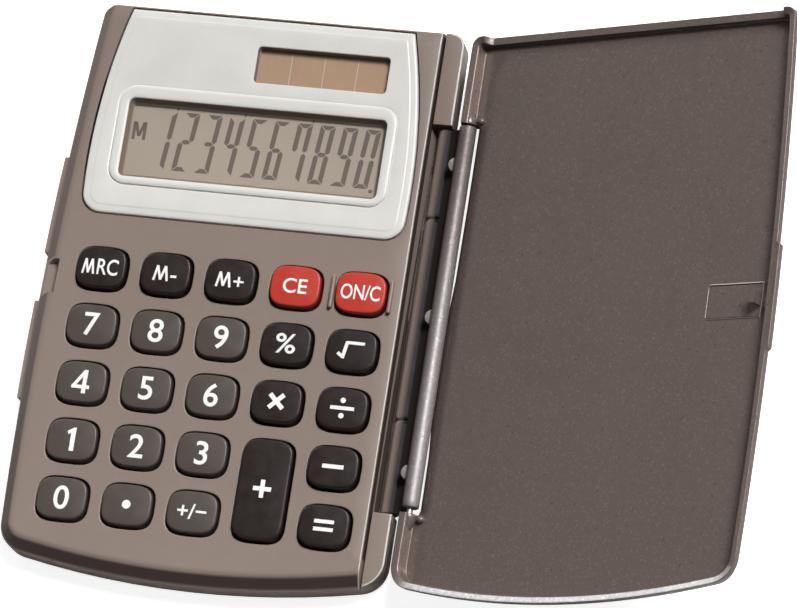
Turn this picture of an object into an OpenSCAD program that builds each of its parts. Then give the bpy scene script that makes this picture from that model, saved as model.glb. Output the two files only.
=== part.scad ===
// Pocket calculator with a hinged hard cover, shown open. Units are millimetres.
// The origin is the middle of the flat rear face: x to the hinge, y to the display, z to the keys.

/* [Keypad] */
// Distance between key columns
key_pitch_x = 12.7; // [12:0.1:15]
// Distance between key rows
key_pitch_y = 11.4; // [10.8:0.1:14]
// Strip of panel left between two key openings in a row
key_web_x = 2.3; // [2:0.1:3.2]
// Strip of panel left between two key openings in a column
key_web_y = 2.4; // [2:0.1:3.2]
// Gap all round between a key and its opening
key_gap = 0.35; // [0.25:0.05:0.5]
// Power of the rounded outline of a key, higher is squarer
key_power = 3.4; // [2.6:0.1:5]
// Height of the number keys above the panel
digit_proud = 1.2; // [0.9:0.1:1.4]
// Height of the function keys above the panel
function_proud = 1.5; // [1.4:0.1:2.2]
// Width of the sloped edge round the top of a key
key_edge = 0.6; // [0.3:0.05:0.8]
// Distance that a key goes down
key_travel = 0.7; // [0.4:0.05:0.7]
// Rim of a key that stays under the panel
key_lip = 0.5; // [0.4:0.05:0.7]
// Thickness of that rim
key_lip_t = 0.6; // [0.5:0.05:0.8]
// Height of the two ribs that guard the on key
guard_h = 1; // [0.6:0.1:1.2]

/* [Body] */
// From the keypad to the left side of the body
left_margin = 7.1; // [6.6:0.1:10]
// From the keypad to the step beside the hinge strip
right_margin = 2.6; // [2.4:0.1:5]
// Width of the hinge strip
strip_w = 4.1; // [4:0.1:5]
// Depth of the step from the panel to the hinge strip
step_h = 1.8; // [1.4:0.1:2.1]
// From the keypad to the lowest point of the body
bottom_margin = 9; // [8.8:0.1:14]
// From the keypad to the display bezel
bezel_gap = 6.7; // [6.4:0.1:10]
// Case rim left above the display bezel
top_rim = 1.1; // [1:0.05:1.6]
// Radius of the bowed left side
side_r = 900; // [600:10:1500]
// Height of the widest point of the bowed side, from the middle of the body
side_apex_y = -20.6; // [-30:0.2:10]
// Radius of the bowed lower end
bottom_r = 170; // [130:1:240]
// Radius of the two upper corners
top_corner_r = 2.6; // [2:0.1:4]
// Radius of the two lower corners
bottom_corner_r = 5.5; // [4:0.1:8]
// Width of the bevel round the panel, seen from above
bevel_w = 2.8; // [2.4:0.1:2.9]
// Width of the bevel at the top end, which is nearly upright
top_bevel = 0.7; // [0.5:0.05:0.8]
// Height of the bevel
bevel_h = 2.6; // [2.3:0.1:2.9]
// Thickness of the key panel
panel_t = 1.5; // [1.3:0.05:2]
// Wall of the front case under the bevel
front_wall = 3; // [2.8:0.1:3.4]
// Wall of the rear case
rear_wall = 1.6; // [1.3:0.1:2.2]
// Thickness of the rear case's floor
rear_floor = 1.4; // [1.2:0.1:2]
// Slope round the edge of the rear face
rear_edge = 1; // [0.5:0.1:1.4]
// How far the two side lips stand out
lip_proud = 1; // [0.6:0.1:1.4]
// Length of a side lip
lip_l = 19.4; // [14:0.2:22]
// Gap between the two side lips
lip_gap = 9.8; // [8:0.2:14]
// Middle of that gap, from the middle of the body
lip_y = 0.8; // [-4:0.2:4]

/* [Display] */
// From the step to the widest point of the bezel
bezel_right = 1.45; // [1.2:0.05:2.5]
// From the panel's left edge to the widest point of the bezel
bezel_left = 2.75; // [2:0.05:4]
// Radius of the bowed sides of the bezel
bezel_side_r = 125; // [100:1:200]
// Height of the bezel's widest point above its lower edge
bezel_apex = 10.7; // [8:0.1:16]
// Radius of the bezel's lower corners
bezel_corner = 4; // [3:0.1:6]
// Height of the bezel above the panel
bezel_proud = 0.3; // [0.2:0.05:0.5]
// Depth of the seat of the bezel below the panel
bezel_seat = 1; // [0.9:0.05:1.1]
// Gap round the bezel
bezel_clear = 0.15; // [0.1:0.01:0.25]
// From the side of the bezel to the display opening
lcd_side = 6.5; // [6:0.1:9]
// Height of the display opening
lcd_l = 15.9; // [13:0.1:20]
// From the bezel's lower edge to the display opening
lcd_below = 7.7; // [6:0.1:10]
// Width of the raised frame round the display opening, at the sides
frame_side = 1.95; // [1.5:0.05:2.4]
// Width of that frame below the opening
frame_below = 1.6; // [1.3:0.05:2.2]
// Width of that frame above the opening
frame_above = 2.6; // [2:0.05:3]
// Height of that frame above the bezel
frame_proud = 0.35; // [0.2:0.05:0.45]
// From the display opening up to the solar window
solar_gap = 5.3; // [4.6:0.1:8]
// Width of the solar window
solar_w = 26.1; // [20:0.1:30]
// Height of the solar window
solar_l = 7.4; // [6:0.1:10]
// From the right side of the bezel to the solar window
solar_right = 7.85; // [6.5:0.05:10]
// From the solar window to the bezel's upper edge
solar_above = 5.6; // [4.6:0.1:8]
// How far a window reaches under the bezel
window_lap = 0.85; // [0.5:0.05:1]
// Gap round a window in the case
window_clear = 0.2; // [0.1:0.02:0.3]
// Thickness of the display glass
glass_t = 1.1; // [0.9:0.05:1.2]
// Border of the display glass outside its opening
glass_border = 1.9; // [1.6:0.05:2.2]
// Width of the two rubber contact strips under the glass
strip_contact_w = 1.5; // [1:0.1:1.6]
// Thickness of the solar cell
cell_t = 1; // [0.8:0.05:1.1]

/* [Inside] */
// Room between the rear floor and the circuit board
under_board = 2.6; // [2.5:0.1:4]
// Thickness of the circuit board
board_t = 1; // [0.8:0.1:1.2]
// Gap between the circuit board and the case
board_clear = 0.3; // [0.2:0.05:0.5]
// Thickness of the rubber key mat
mat_t = 0.5; // [0.4:0.05:0.8]
// Height of the rubber domes
dome_h = 0.7; // [0.7:0.05:1.2]
// Radius of a rubber dome at its foot
dome_r = 3.2; // [2.4:0.1:3.8]
// Gap that lets the keys and the display glass sit freely
play = 0.05; // [0.03:0.01:0.08]
// Radius of the drop of resin over the chip
chip_r = 4; // [3:0.1:5]
// Height of that drop
chip_h = 0.9; // [0.6:0.1:1.5]
// Radius of the button cell
battery_r = 5.8; // [4.5:0.1:6.2]
// Height of the button cell
battery_h = 3.05; // [2.6:0.05:3.05]
// From the left side of the body to the middle of the button cell
battery_side = 21.5; // [19:0.1:24]
// Radius of the battery door
door_r = 8; // [7.6:0.1:8.6]
// Gap round the battery door
door_clear = 0.15; // [0.1:0.01:0.25]
// Thickness of the sheet metal contacts
leaf_t = 0.2; // [0.15:0.01:0.25]
// Radius of the screw shanks
screw_r = 0.9; // [0.7:0.05:1]
// Radius of the screw heads
screw_head_r = 1.8; // [1.5:0.05:1.9]
// Depth of the screw heads below the rear face
screw_sunk = 0.5; // [0.3:0.05:0.6]
// Height of the screw heads
screw_head_h = 1.1; // [0.8:0.05:1.2]
// Radius of the screw posts in the rear case
post_r = 2.6; // [2.5:0.05:2.8]
// Radius of the screw bosses in the front case
boss_r = 2; // [1.7:0.05:2.2]

/* [Hinge] */
// From the right side of the body to the hinge axis
hinge_in = 1.1; // [1.1:0.05:1.4]
// Radius of the barrel on the body's side
body_barrel_r = 1.75; // [1.5:0.05:1.9]
// Radius of the barrel on the cover's side
cover_barrel_r = 1.65; // [1.4:0.05:1.8]
// Radius of the hinge pins
pin_r = 0.6; // [0.45:0.05:0.65]
// Running gap round a hinge pin
pin_clear = 0.05; // [0.03:0.01:0.08]
// How deep a pin goes into each side
pin_deep = 3; // [2:0.1:4]
// Length of strip above the hinge notch
strip_top = 18.5; // [14:0.1:24]
// Length of strip below the hinge notch
strip_bottom = 18; // [15:0.1:24]
// Gap at each end of the body's barrel
barrel_gap = 0.3; // [0.2:0.05:0.5]
// Length of pin that shows at each end of the cover's barrel
pin_shows = 1.2; // [0.8:0.1:1.8]
// Thickness of the web between the two barrels
web_t = 1.6; // [1.2:0.1:1.8]
// Radius of the three round bosses on the web
web_boss_r = 1.7; // [1.2:0.1:2]
// Distance between those bosses
web_boss_pitch = 30.4; // [24:0.2:32]
// Angle of the hinge link above level, as it stands open
link_rest = 41; // [35:1:48]
// Angle of the cover above level, as it stands open
cover_rest = 27; // [15:1:40]

/* [Cover] */
// How far the cover's side lies inside the body's side
cover_in = 0.6; // [0.4:0.05:0.7]
// How much further in the cover's top end lies than its sides
cover_top_in = 0.5; // [0.2:0.05:0.6]
// How far the lower half of the cover is drawn out
cover_longer = 0.5; // [0.2:0.05:0.55]
// How much more that is at the hinge, and less at the free side
cover_skew = 0.25; // [0:0.05:0.3]
// How far the cover's free side is drawn out past the body's side
cover_over = 2.4; // [1.5:0.1:2.6]
// Thickness of the cover's wall
cover_wall = 1.4; // [1.2:0.05:1.45]
// Width of the slope inside the cover's rim
cover_lip = 0.9; // [0.7:0.05:0.9]
// Height of that slope
cover_lip_h = 1.1; // [0.8:0.05:1.2]
// Thickness of the cover's face
cover_floor = 1.3; // [1.1:0.05:1.6]
// Width of the slope outside the cover's free side
cover_edge = 2.2; // [1.5:0.05:2.4]
// Width of the slope outside its other sides
hinge_edge = 1; // [0.5:0.05:1.1]
// Height of the upright part of the cover's wall
cover_upright = 1.2; // [1:0.05:1.6]
// Gap between the closed cover and the keys
key_clear = 0.4; // [0.3:0.05:0.8]
// Gap between the closed cover's rim and the bevel
rim_clear = 0.1; // [0.1:0.02:0.3]
// Gap between the cover, folded right back, and the rear face
fold_gap = 0.2; // [0.15:0.05:0.5]
// From the hinge axis to the cut edge of the cover's face
hinge_cut = 1.75; // [1.7:0.05:2.2]
// How far the finger tab stands out
tab_proud = 0.6; // [0.4:0.1:1.2]
// Length of the finger tab
tab_l = 20.4; // [14:0.2:24]
// Height of the finger tab
tab_h = 1.3; // [1:0.1:2.6]
// Length of the latch plate, across the cover
latch_l = 12.8; // [9:0.1:16]
// Width of the latch plate
latch_w = 6.3; // [5:0.1:8]
// Depth of the latch plate's seat
latch_t = 0.5; // [0.4:0.05:0.6]
// Gap round the latch plate
latch_clear = 0.12; // [0.08:0.01:0.2]

/* [Hidden] */
eps = 0.01;
slice = 0.01;
round_fn = 48;
arc_steps = 8;
long_steps = 12;
key_steps = 32;
least_round = 0.4;
columns = 5;
rows = 5;

// Key rows run from the display down: name, column, row, rows covered, kind
KEYS = [
    ["key_mrc", 0, 0, 1, "dark"], ["key_m_minus", 1, 0, 1, "dark"], ["key_m_plus", 2, 0, 1, "dark"],
    ["key_ce", 3, 0, 1, "red"], ["key_on", 4, 0, 1, "red"],
    ["key_7", 0, 1, 1, "digit"], ["key_8", 1, 1, 1, "digit"], ["key_9", 2, 1, 1, "digit"],
    ["key_percent", 3, 1, 1, "dark"], ["key_root", 4, 1, 1, "dark"],
    ["key_4", 0, 2, 1, "digit"], ["key_5", 1, 2, 1, "digit"], ["key_6", 2, 2, 1, "digit"],
    ["key_times", 3, 2, 1, "dark"], ["key_divide", 4, 2, 1, "dark"],
    ["key_1", 0, 3, 1, "digit"], ["key_2", 1, 3, 1, "digit"], ["key_3", 2, 3, 1, "digit"],
    ["key_plus", 3, 3, 2, "dark"], ["key_minus", 4, 3, 1, "dark"],
    ["key_0", 0, 4, 1, "digit"], ["key_point", 1, 4, 1, "digit"], ["key_sign", 2, 4, 1, "digit"],
    ["key_equals", 4, 4, 1, "dark"]
];
guarded_key = 4;
OTHER_NODES = [
    "front_case", "rear_case", "display_bezel", "display_window", "solar_window", "lcd_glass",
    "lcd_contacts", "solar_cell", "solar_leads", "circuit_board", "chip_resin", "board_components",
    "key_mat", "battery_cell", "battery_contact_plus", "battery_contact_minus", "battery_door",
    "case_screws", "hinge_link", "body_hinge_pins", "cover_hinge_pins", "cover", "latch_clip"
];

case_colour = "#897A72";
dark_colour = "#3A3030";
digit_colour = "#554C4A";
red_colour = "#CD3E30";
bezel_colour = "#E1E1DE";
cover_colour = "#645A54";
clear_colour = [0.9, 0.92, 0.92, 0.35];
lcd_colour = "#ADA39A";
solar_colour = "#AE9279";
rubber_colour = "#8C8C88";
board_colour = "#3F6B45";
resin_colour = "#1E1C1C";
steel_colour = "#B9B9B6";

// Heights, stacked up from the rear face
board_z = rear_floor + under_board;
split_z = board_z + board_t;
mat_top = split_z + mat_t;
lip_z = mat_top + dome_h;
cavity_top = lip_z + key_lip_t + 2 * play;
panel_z = cavity_top + panel_t;
foot_z = panel_z - bevel_h;
strip_z = panel_z - step_h;
seat_z = panel_z - bezel_seat;
bezel_z = panel_z + bezel_proud;
frame_z = bezel_z + frame_proud;
glass_z = cavity_top - play - glass_t;
cell_z = cavity_top - play - cell_t;

// Plan of the keypad and the body
open_w = key_pitch_x - key_web_x;
open_l = key_pitch_y - key_web_y;
pad_w = (columns - 1) * key_pitch_x + open_w;
pad_l = (rows - 1) * key_pitch_y + open_l;
bezel_l = lcd_below + lcd_l + solar_gap + solar_l + solar_above;
body_w = left_margin + pad_w + right_margin + strip_w;
body_l = bottom_margin + pad_l + bezel_gap + bezel_l + top_rim;
half_w = body_w / 2;
half_l = body_l / 2;
step_x = half_w - strip_w;
step_wall = 1.5;
inner_x = step_x - step_wall;
key_x0 = -half_w + left_margin + open_w / 2;
key_y0 = -half_l + bottom_margin + open_l / 2;
pad_top = key_y0 + pad_l - open_l / 2;

// Plan of the display
bezel_x1 = step_x - bezel_right;
bezel_x0 = -half_w + bevel_w + bezel_left;
bezel_x = (bezel_x0 + bezel_x1) / 2;
bezel_half = (bezel_x1 - bezel_x0) / 2;
bezel_y0 = pad_top + bezel_gap;
bezel_y1 = bezel_y0 + bezel_l;
bezel_edge = 0.4;
bezel_side_c = [bezel_half - bezel_side_r, bezel_y0 + bezel_apex];
lcd_w = 2 * (bezel_half - lcd_side);
lcd_y = bezel_y0 + lcd_below + lcd_l / 2;
lcd_round = 1.2;
frame_round = 3.4;
frame_l = lcd_l + frame_below + frame_above;
frame_y = lcd_y + (frame_above - frame_below) / 2;
solar_x = bezel_x1 - solar_right - solar_w / 2;
solar_y = lcd_y + lcd_l / 2 + solar_gap + solar_l / 2;
solar_round = 0.8;
glass_w = lcd_w + 2 * glass_border;
glass_l = lcd_l + 2 * glass_border;
cell_border = 1.2;

// Plan of the inside
board_side = 3;
board_x0 = -half_w + front_wall + board_clear + board_side;
board_x1 = inner_x - board_clear;
mid_screw_y = pad_top + bezel_gap / 2;
board_y0 = key_y0 - open_l / 2 - key_lip;
board_mid_y = mid_screw_y - post_r - board_clear;
board_top_y = lcd_y + glass_l / 2;
display_board_half = glass_w / 2 - 0.5;
battery_x = -half_w + battery_side;
battery_y = board_top_y + board_clear + battery_r;
well_gap = 0.3;
well_wall = 0.9;
well_r = battery_r + well_gap;
well_h = 2;
door_ledge = 0.6;
coin_slot_l = 9;
coin_slot_w = 1.6;
coin_slot_d = 0.35;
low_screw_y = board_y0 - board_clear - post_r;
top_screw_in = 4.8;
top_screw_y = bezel_y1 - top_screw_in;
left_screw_in = 6.3;
top_screw_shift = 1.2;
left_screw_x = -half_w + left_screw_in;
top_left_screw_x = left_screw_x + top_screw_shift;
boss_bite = 0.4;
right_screw_x = inner_x - boss_r + boss_bite;
SCREWS = [
    [top_left_screw_x, top_screw_y], [right_screw_x, top_screw_y],
    [left_screw_x, mid_screw_y], [right_screw_x, mid_screw_y],
    [key_x0 + key_pitch_x / 2, low_screw_y], [key_x0 + (columns - 1.5) * key_pitch_x, low_screw_y]
];
screw_hole_clear = 0.2;
pilot_top = seat_z - 0.3;
support_r = 1.5;
SUPPORTS = [
    for (i = [0.5, columns - 1.5], j = [0.5, rows - 1.5])
        [key_x0 + i * key_pitch_x, key_y0 + j * key_pitch_y]
];

// Closed cover, and the two hinge axes
rim_z = foot_z + bevel_h * (cover_in + cover_lip + rim_clear) / bevel_w + rim_clear;
cover_inside_z = panel_z + function_proud + key_clear;
cover_top_z = cover_inside_z + cover_floor;
cover_half_h = (cover_top_z - rim_z) / 2;
closed_axis_z = rim_z + cover_half_h;
folded_axis_z = -fold_gap - cover_half_h;
hinge_x = half_w - hinge_in;
hinge_z = (closed_axis_z + folded_axis_z) / 2;
link_d = (closed_axis_z - folded_axis_z) / 2;
cover_axis_x = hinge_x + link_d * cos(link_rest);
cover_axis_z = hinge_z + link_d * sin(link_rest);
notch_y0 = -half_l + strip_bottom;
notch_y1 = half_l - strip_top;
notch_y = (notch_y0 + notch_y1) / 2;
notch_l = notch_y1 - notch_y0;
crease_w = 0.3;
crease_d = 0.3;
crease_pitch = notch_l * 0.52;
web_boss_h = 1.2;
ear_l = pin_deep + 0.6;
bore_r = pin_r + pin_clear;
cradle_w = 1.5;
cradle_h = 1.2;
cradle_short = 9;
top_cut_clear = 0.4;
top_cut_x0 = -half_w + side_sag(half_l) + bevel_w * (rim_z - foot_z) / bevel_h - top_cut_clear;
top_cut_x1 = step_x + top_cut_clear;
cover_stretch = 1 + cover_over / half_w;
slope_share = (cover_inside_z - rim_z - cover_upright) / (cover_top_z - rim_z - cover_upright);
floor_in = cover_edge * slope_share;
tab_y = lip_y;
latch_low = 0.6;
latch_y = lip_y - latch_low;
latch_x0 = -cover_stretch * (half_w - cover_in - cover_wall - floor_in);
latch_round = 0.3;
catch_up = 0.7;
catch_z = foot_z + catch_up;
hook_w = 2.4;
hook_t = 0.6;
hook_nub = 0.35;
hook_up = 0.3;
hook_nub_h = 0.5;
hook_in = 2.1;
hook_x0 = -half_w + hook_in + side_sag(latch_y);
catch_clear = 0.15;
catch_x1 = hook_x0 + hook_t + hook_nub + catch_clear;
guard_w = 0.8;
guard_l = 6.6;
guard_out = 0.45;

// Points of an arc about c
function arc(c, r, a0, a1, n) =
    [for (k = [0:n]) let (a = a0 + (a1 - a0) * k / n) [c[0] + r * cos(a), c[1] + r * sin(a)]];
function direction(c, p) = atan2(p[1] - c[1], p[0] - c[0]);
function full_turn(a) = a < 0 ? a + 360 : a;

// The body's outline, drawn in by i and by t at the top: bowed left side and lower end, straight
// top and hinge side
side_c = [-half_w + side_r, side_apex_y];
bottom_c = [0, -half_l + bottom_r];
centres_d = norm(bottom_c - side_c);
centres_u = (bottom_c - side_c) / centres_d;
function upper_r(i) = max(top_corner_r, i + least_round);
function lower_r(i) = max(bottom_corner_r, i + least_round);
function upper_right(r, top) = [half_w - r, top - r];
function upper_left(r, top) =
    [side_c[0] - sqrt(pow(side_r - r, 2) - pow(top - r - side_c[1], 2)), top - r];
function lower_right(r) =
    [half_w - r, bottom_c[1] - sqrt(pow(bottom_r - r, 2) - pow(half_w - r - bottom_c[0], 2))];
function along(r) = (pow(side_r - r, 2) - pow(bottom_r - r, 2) + pow(centres_d, 2)) / (2 * centres_d);
function lower_left(r) =
    let (h = sqrt(pow(side_r - r, 2) - pow(along(r), 2)))
    side_c + along(r) * centres_u + h * [-centres_u[1], centres_u[0]];
function outline(i) = outline_top(i, i);
function outline_top(i, t) =
    let (
        ru = upper_r(i),
        rl = lower_r(i),
        ur = upper_right(ru, half_l + i - t),
        ul = upper_left(ru, half_l + i - t),
        lr = lower_right(rl),
        ll = lower_left(rl),
        a_lr = direction(bottom_c, lr),
        a_ul = full_turn(direction(side_c, ul)),
        a_side = full_turn(direction(side_c, ll)),
        a_bottom = full_turn(direction(bottom_c, ll))
    )
    concat(
        arc(lr, rl - i, a_lr, 0, arc_steps),
        arc(ur, ru - i, 0, 90, arc_steps),
        arc(ul, ru - i, 90, a_ul, arc_steps),
        arc(side_c, side_r - i, a_ul, a_side, long_steps),
        arc(ll, rl - i, a_side, a_bottom, arc_steps),
        arc(bottom_c, bottom_r - i, a_bottom, full_turn(a_lr), long_steps)
    );

// The bezel's outline, drawn in by i: bowed sides, round lower corners, straight top
function bezel_corner_c() =
    let (dy = bezel_y0 + bezel_corner - bezel_side_c[1])
    [bezel_side_c[0] + sqrt(pow(bezel_side_r - bezel_corner, 2) - dy * dy), bezel_y0 + bezel_corner];
function bezel_right_points(i) =
    let (
        c = bezel_corner_c(),
        a = direction(bezel_side_c, c),
        top = asin((bezel_y1 - i - bezel_side_c[1]) / (bezel_side_r - i))
    )
    concat(
        arc(c, bezel_corner - i, -90, a, arc_steps),
        arc(bezel_side_c, bezel_side_r - i, a, top, long_steps)
    );
function bezel_points(i) =
    let (right = bezel_right_points(i), n = len(right))
    concat(
        [for (p = right) [bezel_x + p[0], p[1]]],
        [for (k = [1:n]) [bezel_x - right[n - k][0], right[n - k][1]]]
    );

// A rounded rectangle about c
function round_box(c, w, l, r) =
    concat(
        arc([c[0] + w / 2 - r, c[1] - l / 2 + r], r, -90, 0, arc_steps),
        arc([c[0] + w / 2 - r, c[1] + l / 2 - r], r, 0, 90, arc_steps),
        arc([c[0] - w / 2 + r, c[1] + l / 2 - r], r, 90, 180, arc_steps),
        arc([c[0] - w / 2 + r, c[1] - l / 2 + r], r, 180, 270, arc_steps)
    );

// A key's outline: a superellipse whose two halves are drawn apart for a long key
function bulge(u) = sign(u) * pow(abs(u), 2 / key_power);
function key_points(c, w, l, longer) =
    [
        for (k = [0:key_steps - 1])
            let (a = 360 * (k + 0.5) / key_steps)
            [c[0] + w / 2 * bulge(cos(a)), c[1] + l / 2 * bulge(sin(a)) + sign(sin(a)) * longer / 2]
    ];
function key_longer(k) = (k[3] - 1) * key_pitch_y;
function key_centre(k) =
    [key_x0 + k[1] * key_pitch_x, key_y0 + (rows - 1 - k[2]) * key_pitch_y - key_longer(k) / 2];

module at_z(z, h) {
    translate([0, 0, z]) linear_extrude(height = h) children();
}

module rod_y(x, y, z, r, l) {
    translate([x, y, z]) rotate([-90, 0, 0]) cylinder(h = l, r = r, $fn = round_fn);
}

module post(p, r, z0, z1) {
    translate([p[0], p[1], z0]) cylinder(h = z1 - z0, r = r, $fn = round_fn);
}

module box(x0, x1, y0, y1, z0, z1) {
    translate([x0, y0, z0]) cube([x1 - x0, y1 - y0, z1 - z0]);
}

module key_plan(k, grow) {
    polygon(key_points(key_centre(k), open_w + 2 * grow, open_l + 2 * grow, key_longer(k)));
}

// Puts what is drawn in the closed cover's place into the open cover's place
module open_cover() {
    translate([cover_axis_x, 0, cover_axis_z])
        rotate([0, 180 - cover_rest, 0])
            translate([-hinge_x, 0, -closed_axis_z]) children();
}

// Puts what is drawn along x from the body's axis into the link's place
module open_link() {
    translate([hinge_x, 0, hinge_z]) rotate([0, -link_rest, 0]) children();
}

module key(k) {
    proud = k[4] == "digit" ? digit_proud : function_proud;
    colour = k[4] == "digit" ? digit_colour : k[4] == "red" ? red_colour : dark_colour;
    color(colour) union() {
        at_z(lip_z, key_lip_t) key_plan(k, key_lip);
        hull() {
            at_z(lip_z, panel_z + proud - key_edge - lip_z) key_plan(k, -key_gap);
            at_z(panel_z + proud - slice, slice) key_plan(k, -key_gap - key_edge);
        }
    }
}

module front_shell() {
    difference() {
        hull() {
            at_z(split_z, foot_z - split_z) polygon(outline(0));
            at_z(panel_z - slice, slice) polygon(outline_top(bevel_w, top_bevel));
        }
        box(step_x, body_w, -body_l, body_l, strip_z, 2 * panel_z);
    }
    at_z(split_z, strip_z - split_z) intersection() {
        polygon(outline(0));
        translate([step_x - step_wall / 2, -body_l]) square([body_w, 2 * body_l]);
    }
}

module front_cavity() {
    at_z(split_z - eps, cavity_top - split_z + eps) intersection() {
        polygon(outline(front_wall));
        translate([-body_w, -body_l]) square([body_w + inner_x, 2 * body_l]);
    }
}

module hinge_notch() {
    box(step_x, body_w, notch_y0, notch_y1, -eps, 2 * panel_z);
}

module guard_ribs() {
    c = key_centre(KEYS[guarded_key]);
    for (side = [-1, 1]) {
        x = c[0] + side * (open_w / 2 + guard_out);
        at_z(panel_z - eps, guard_h + eps)
            polygon(round_box([x, c[1]], guard_w, guard_l, guard_w / 2 - eps));
    }
}

module front_case() {
    color(case_colour) difference() {
        union() {
            difference() {
                front_shell();
                front_cavity();
            }
            for (p = SCREWS) post(p, boss_r, split_z, cavity_top + eps);
            guard_ribs();
        }
        for (k = KEYS) at_z(cavity_top - eps, panel_t + 2 * eps) key_plan(k, 0);
        at_z(seat_z, panel_z) polygon(bezel_points(-bezel_clear));
        at_z(cavity_top - eps, panel_z)
            polygon(round_box([bezel_x, lcd_y], window_w(lcd_w), window_w(lcd_l), lcd_round));
        at_z(cavity_top - eps, panel_z)
            polygon(round_box([solar_x, solar_y], window_w(solar_w), window_w(solar_l), solar_round));
        hinge_notch();
        box(
            -body_w, catch_x1, latch_y - latch_w / 2, latch_y + latch_w / 2, catch_z, 2 * panel_z
        );
        for (p = SCREWS) post(p, screw_r, split_z - eps, pilot_top);
    }
}
function window_w(opening) = opening + 2 * (window_lap + window_clear);

lip_up = 1;
module rear_shell() {
    hull() {
        at_z(rear_edge, split_z - rear_edge) polygon(outline(0));
        at_z(0, slice) polygon(outline(rear_edge));
    }
    for (side = [-1, 1]) {
        y = lip_y + side * (lip_gap + lip_l) / 2;
        at_z(rear_edge + lip_up, split_z - rear_edge - lip_up) intersection() {
            polygon(outline(-lip_proud));
            translate([-body_w, y - lip_l / 2]) square([body_w, lip_l]);
        }
    }
}

module rear_cavity() {
    at_z(rear_floor, split_z) intersection() {
        polygon(outline(rear_wall));
        translate([-body_w, -body_l]) square([body_w + inner_x, 2 * body_l]);
    }
}

module battery_well() {
    difference() {
        post([battery_x, battery_y], well_r + well_wall, rear_floor - eps, rear_floor + well_h);
        post([battery_x, battery_y], well_r, 0, split_z);
        box(
            battery_x - 2 * door_r, battery_x - battery_r / 2,
            battery_y - battery_r * 0.8, battery_y + battery_r * 0.8, rear_floor, split_z
        );
    }
}

module rear_case() {
    head_r = screw_head_r + screw_hole_clear;
    color(case_colour) difference() {
        union() {
            difference() {
                rear_shell();
                rear_cavity();
                hinge_notch();
            }
            for (p = SCREWS) post(p, post_r, rear_floor - eps, split_z);
            for (p = SUPPORTS) post(p, support_r, rear_floor - eps, board_z);
            battery_well();
            box(
                step_x - eps, step_x + cradle_w, notch_y0 - eps, notch_y1 - cradle_short,
                rear_edge, rear_edge + cradle_h
            );
        }
        for (p = SCREWS) {
            post(p, screw_r + screw_hole_clear, -eps, split_z + eps);
            post(p, head_r, -eps, screw_sunk + screw_head_h);
        }
        post([battery_x, battery_y], door_r + door_clear, -eps, rear_floor - door_ledge);
        post([battery_x, battery_y], well_r, -eps, rear_floor + eps);
        for (y = [notch_y0 - pin_deep, notch_y1 - eps])
            rod_y(hinge_x, y, hinge_z, bore_r, pin_deep + eps);
    }
}

module display_bezel() {
    color(bezel_colour) difference() {
        union() {
            hull() {
                at_z(seat_z, bezel_z - bezel_edge - seat_z) polygon(bezel_points(0));
                at_z(bezel_z - slice, slice) polygon(bezel_points(bezel_edge));
            }
            at_z(bezel_z - eps, frame_proud + eps)
                polygon(round_box([bezel_x, frame_y], lcd_w + 2 * frame_side, frame_l, frame_round));
        }
        at_z(seat_z - eps, panel_z) polygon(round_box([bezel_x, lcd_y], lcd_w, lcd_l, lcd_round));
        at_z(seat_z - eps, panel_z) polygon(round_box([solar_x, solar_y], solar_w, solar_l, solar_round));
    }
}

module window(c, w, l, r) {
    color(clear_colour) at_z(cavity_top, seat_z - cavity_top)
        polygon(round_box(c, w + 2 * window_lap, l + 2 * window_lap, r));
}

module display_window() {
    window([bezel_x, lcd_y], lcd_w, lcd_l, lcd_round);
}

module solar_window() {
    window([solar_x, solar_y], solar_w, solar_l, solar_round);
}

module lcd_glass() {
    color(lcd_colour) translate([bezel_x - glass_w / 2, lcd_y - glass_l / 2, glass_z])
        cube([glass_w, glass_l, glass_t]);
}

module lcd_contacts() {
    reach = glass_l / 2 - strip_contact_w / 2;
    color(rubber_colour) for (side = [-1, 1])
        translate([bezel_x - glass_w / 2 + glass_border, lcd_y + side * reach - strip_contact_w / 2, split_z])
            cube([lcd_w, strip_contact_w, glass_z - split_z]);
}

module solar_cell() {
    color(solar_colour) translate([
        solar_x - solar_w / 2 - cell_border, solar_y - solar_l / 2 - cell_border, cell_z
    ]) cube([solar_w + 2 * cell_border, solar_l + 2 * cell_border, cell_t]);
}

lead_r = 0.35;
lead_in = 3;
module solar_leads() {
    color(steel_colour) for (side = [-1, 1])
        post([solar_x + side * (solar_w / 2 - lead_in), solar_y - solar_l / 4], lead_r, split_z, cell_z);
}

module circuit_board() {
    color(board_colour) at_z(board_z, board_t) union() {
        translate([board_x0, board_y0]) square([board_x1 - board_x0, board_mid_y - board_y0]);
        translate([bezel_x - display_board_half, board_mid_y - eps])
            square([2 * display_board_half, board_top_y - board_mid_y + eps]);
        translate([solar_x - solar_w / 2 + lead_in / 2, board_top_y - eps])
            square([solar_w - lead_in, solar_y - board_top_y]);
    }
}

module chip_resin() {
    c = key_centre([0, 2, 2, 1]);
    color(resin_colour) translate([c[0], c[1], board_z - chip_h])
        cylinder(h = chip_h, r1 = chip_r - chip_h, r2 = chip_r, $fn = round_fn);
}

component_w = 4;
component_l = 2;
component_h = 1.3;
component_out = 10;
module board_components() {
    color(resin_colour) for (side = [-1, 1])
        translate([bezel_x + side * component_out - component_w / 2, mid_screw_y, board_z - component_h])
            cube([component_w, component_l, component_h]);
}

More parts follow.
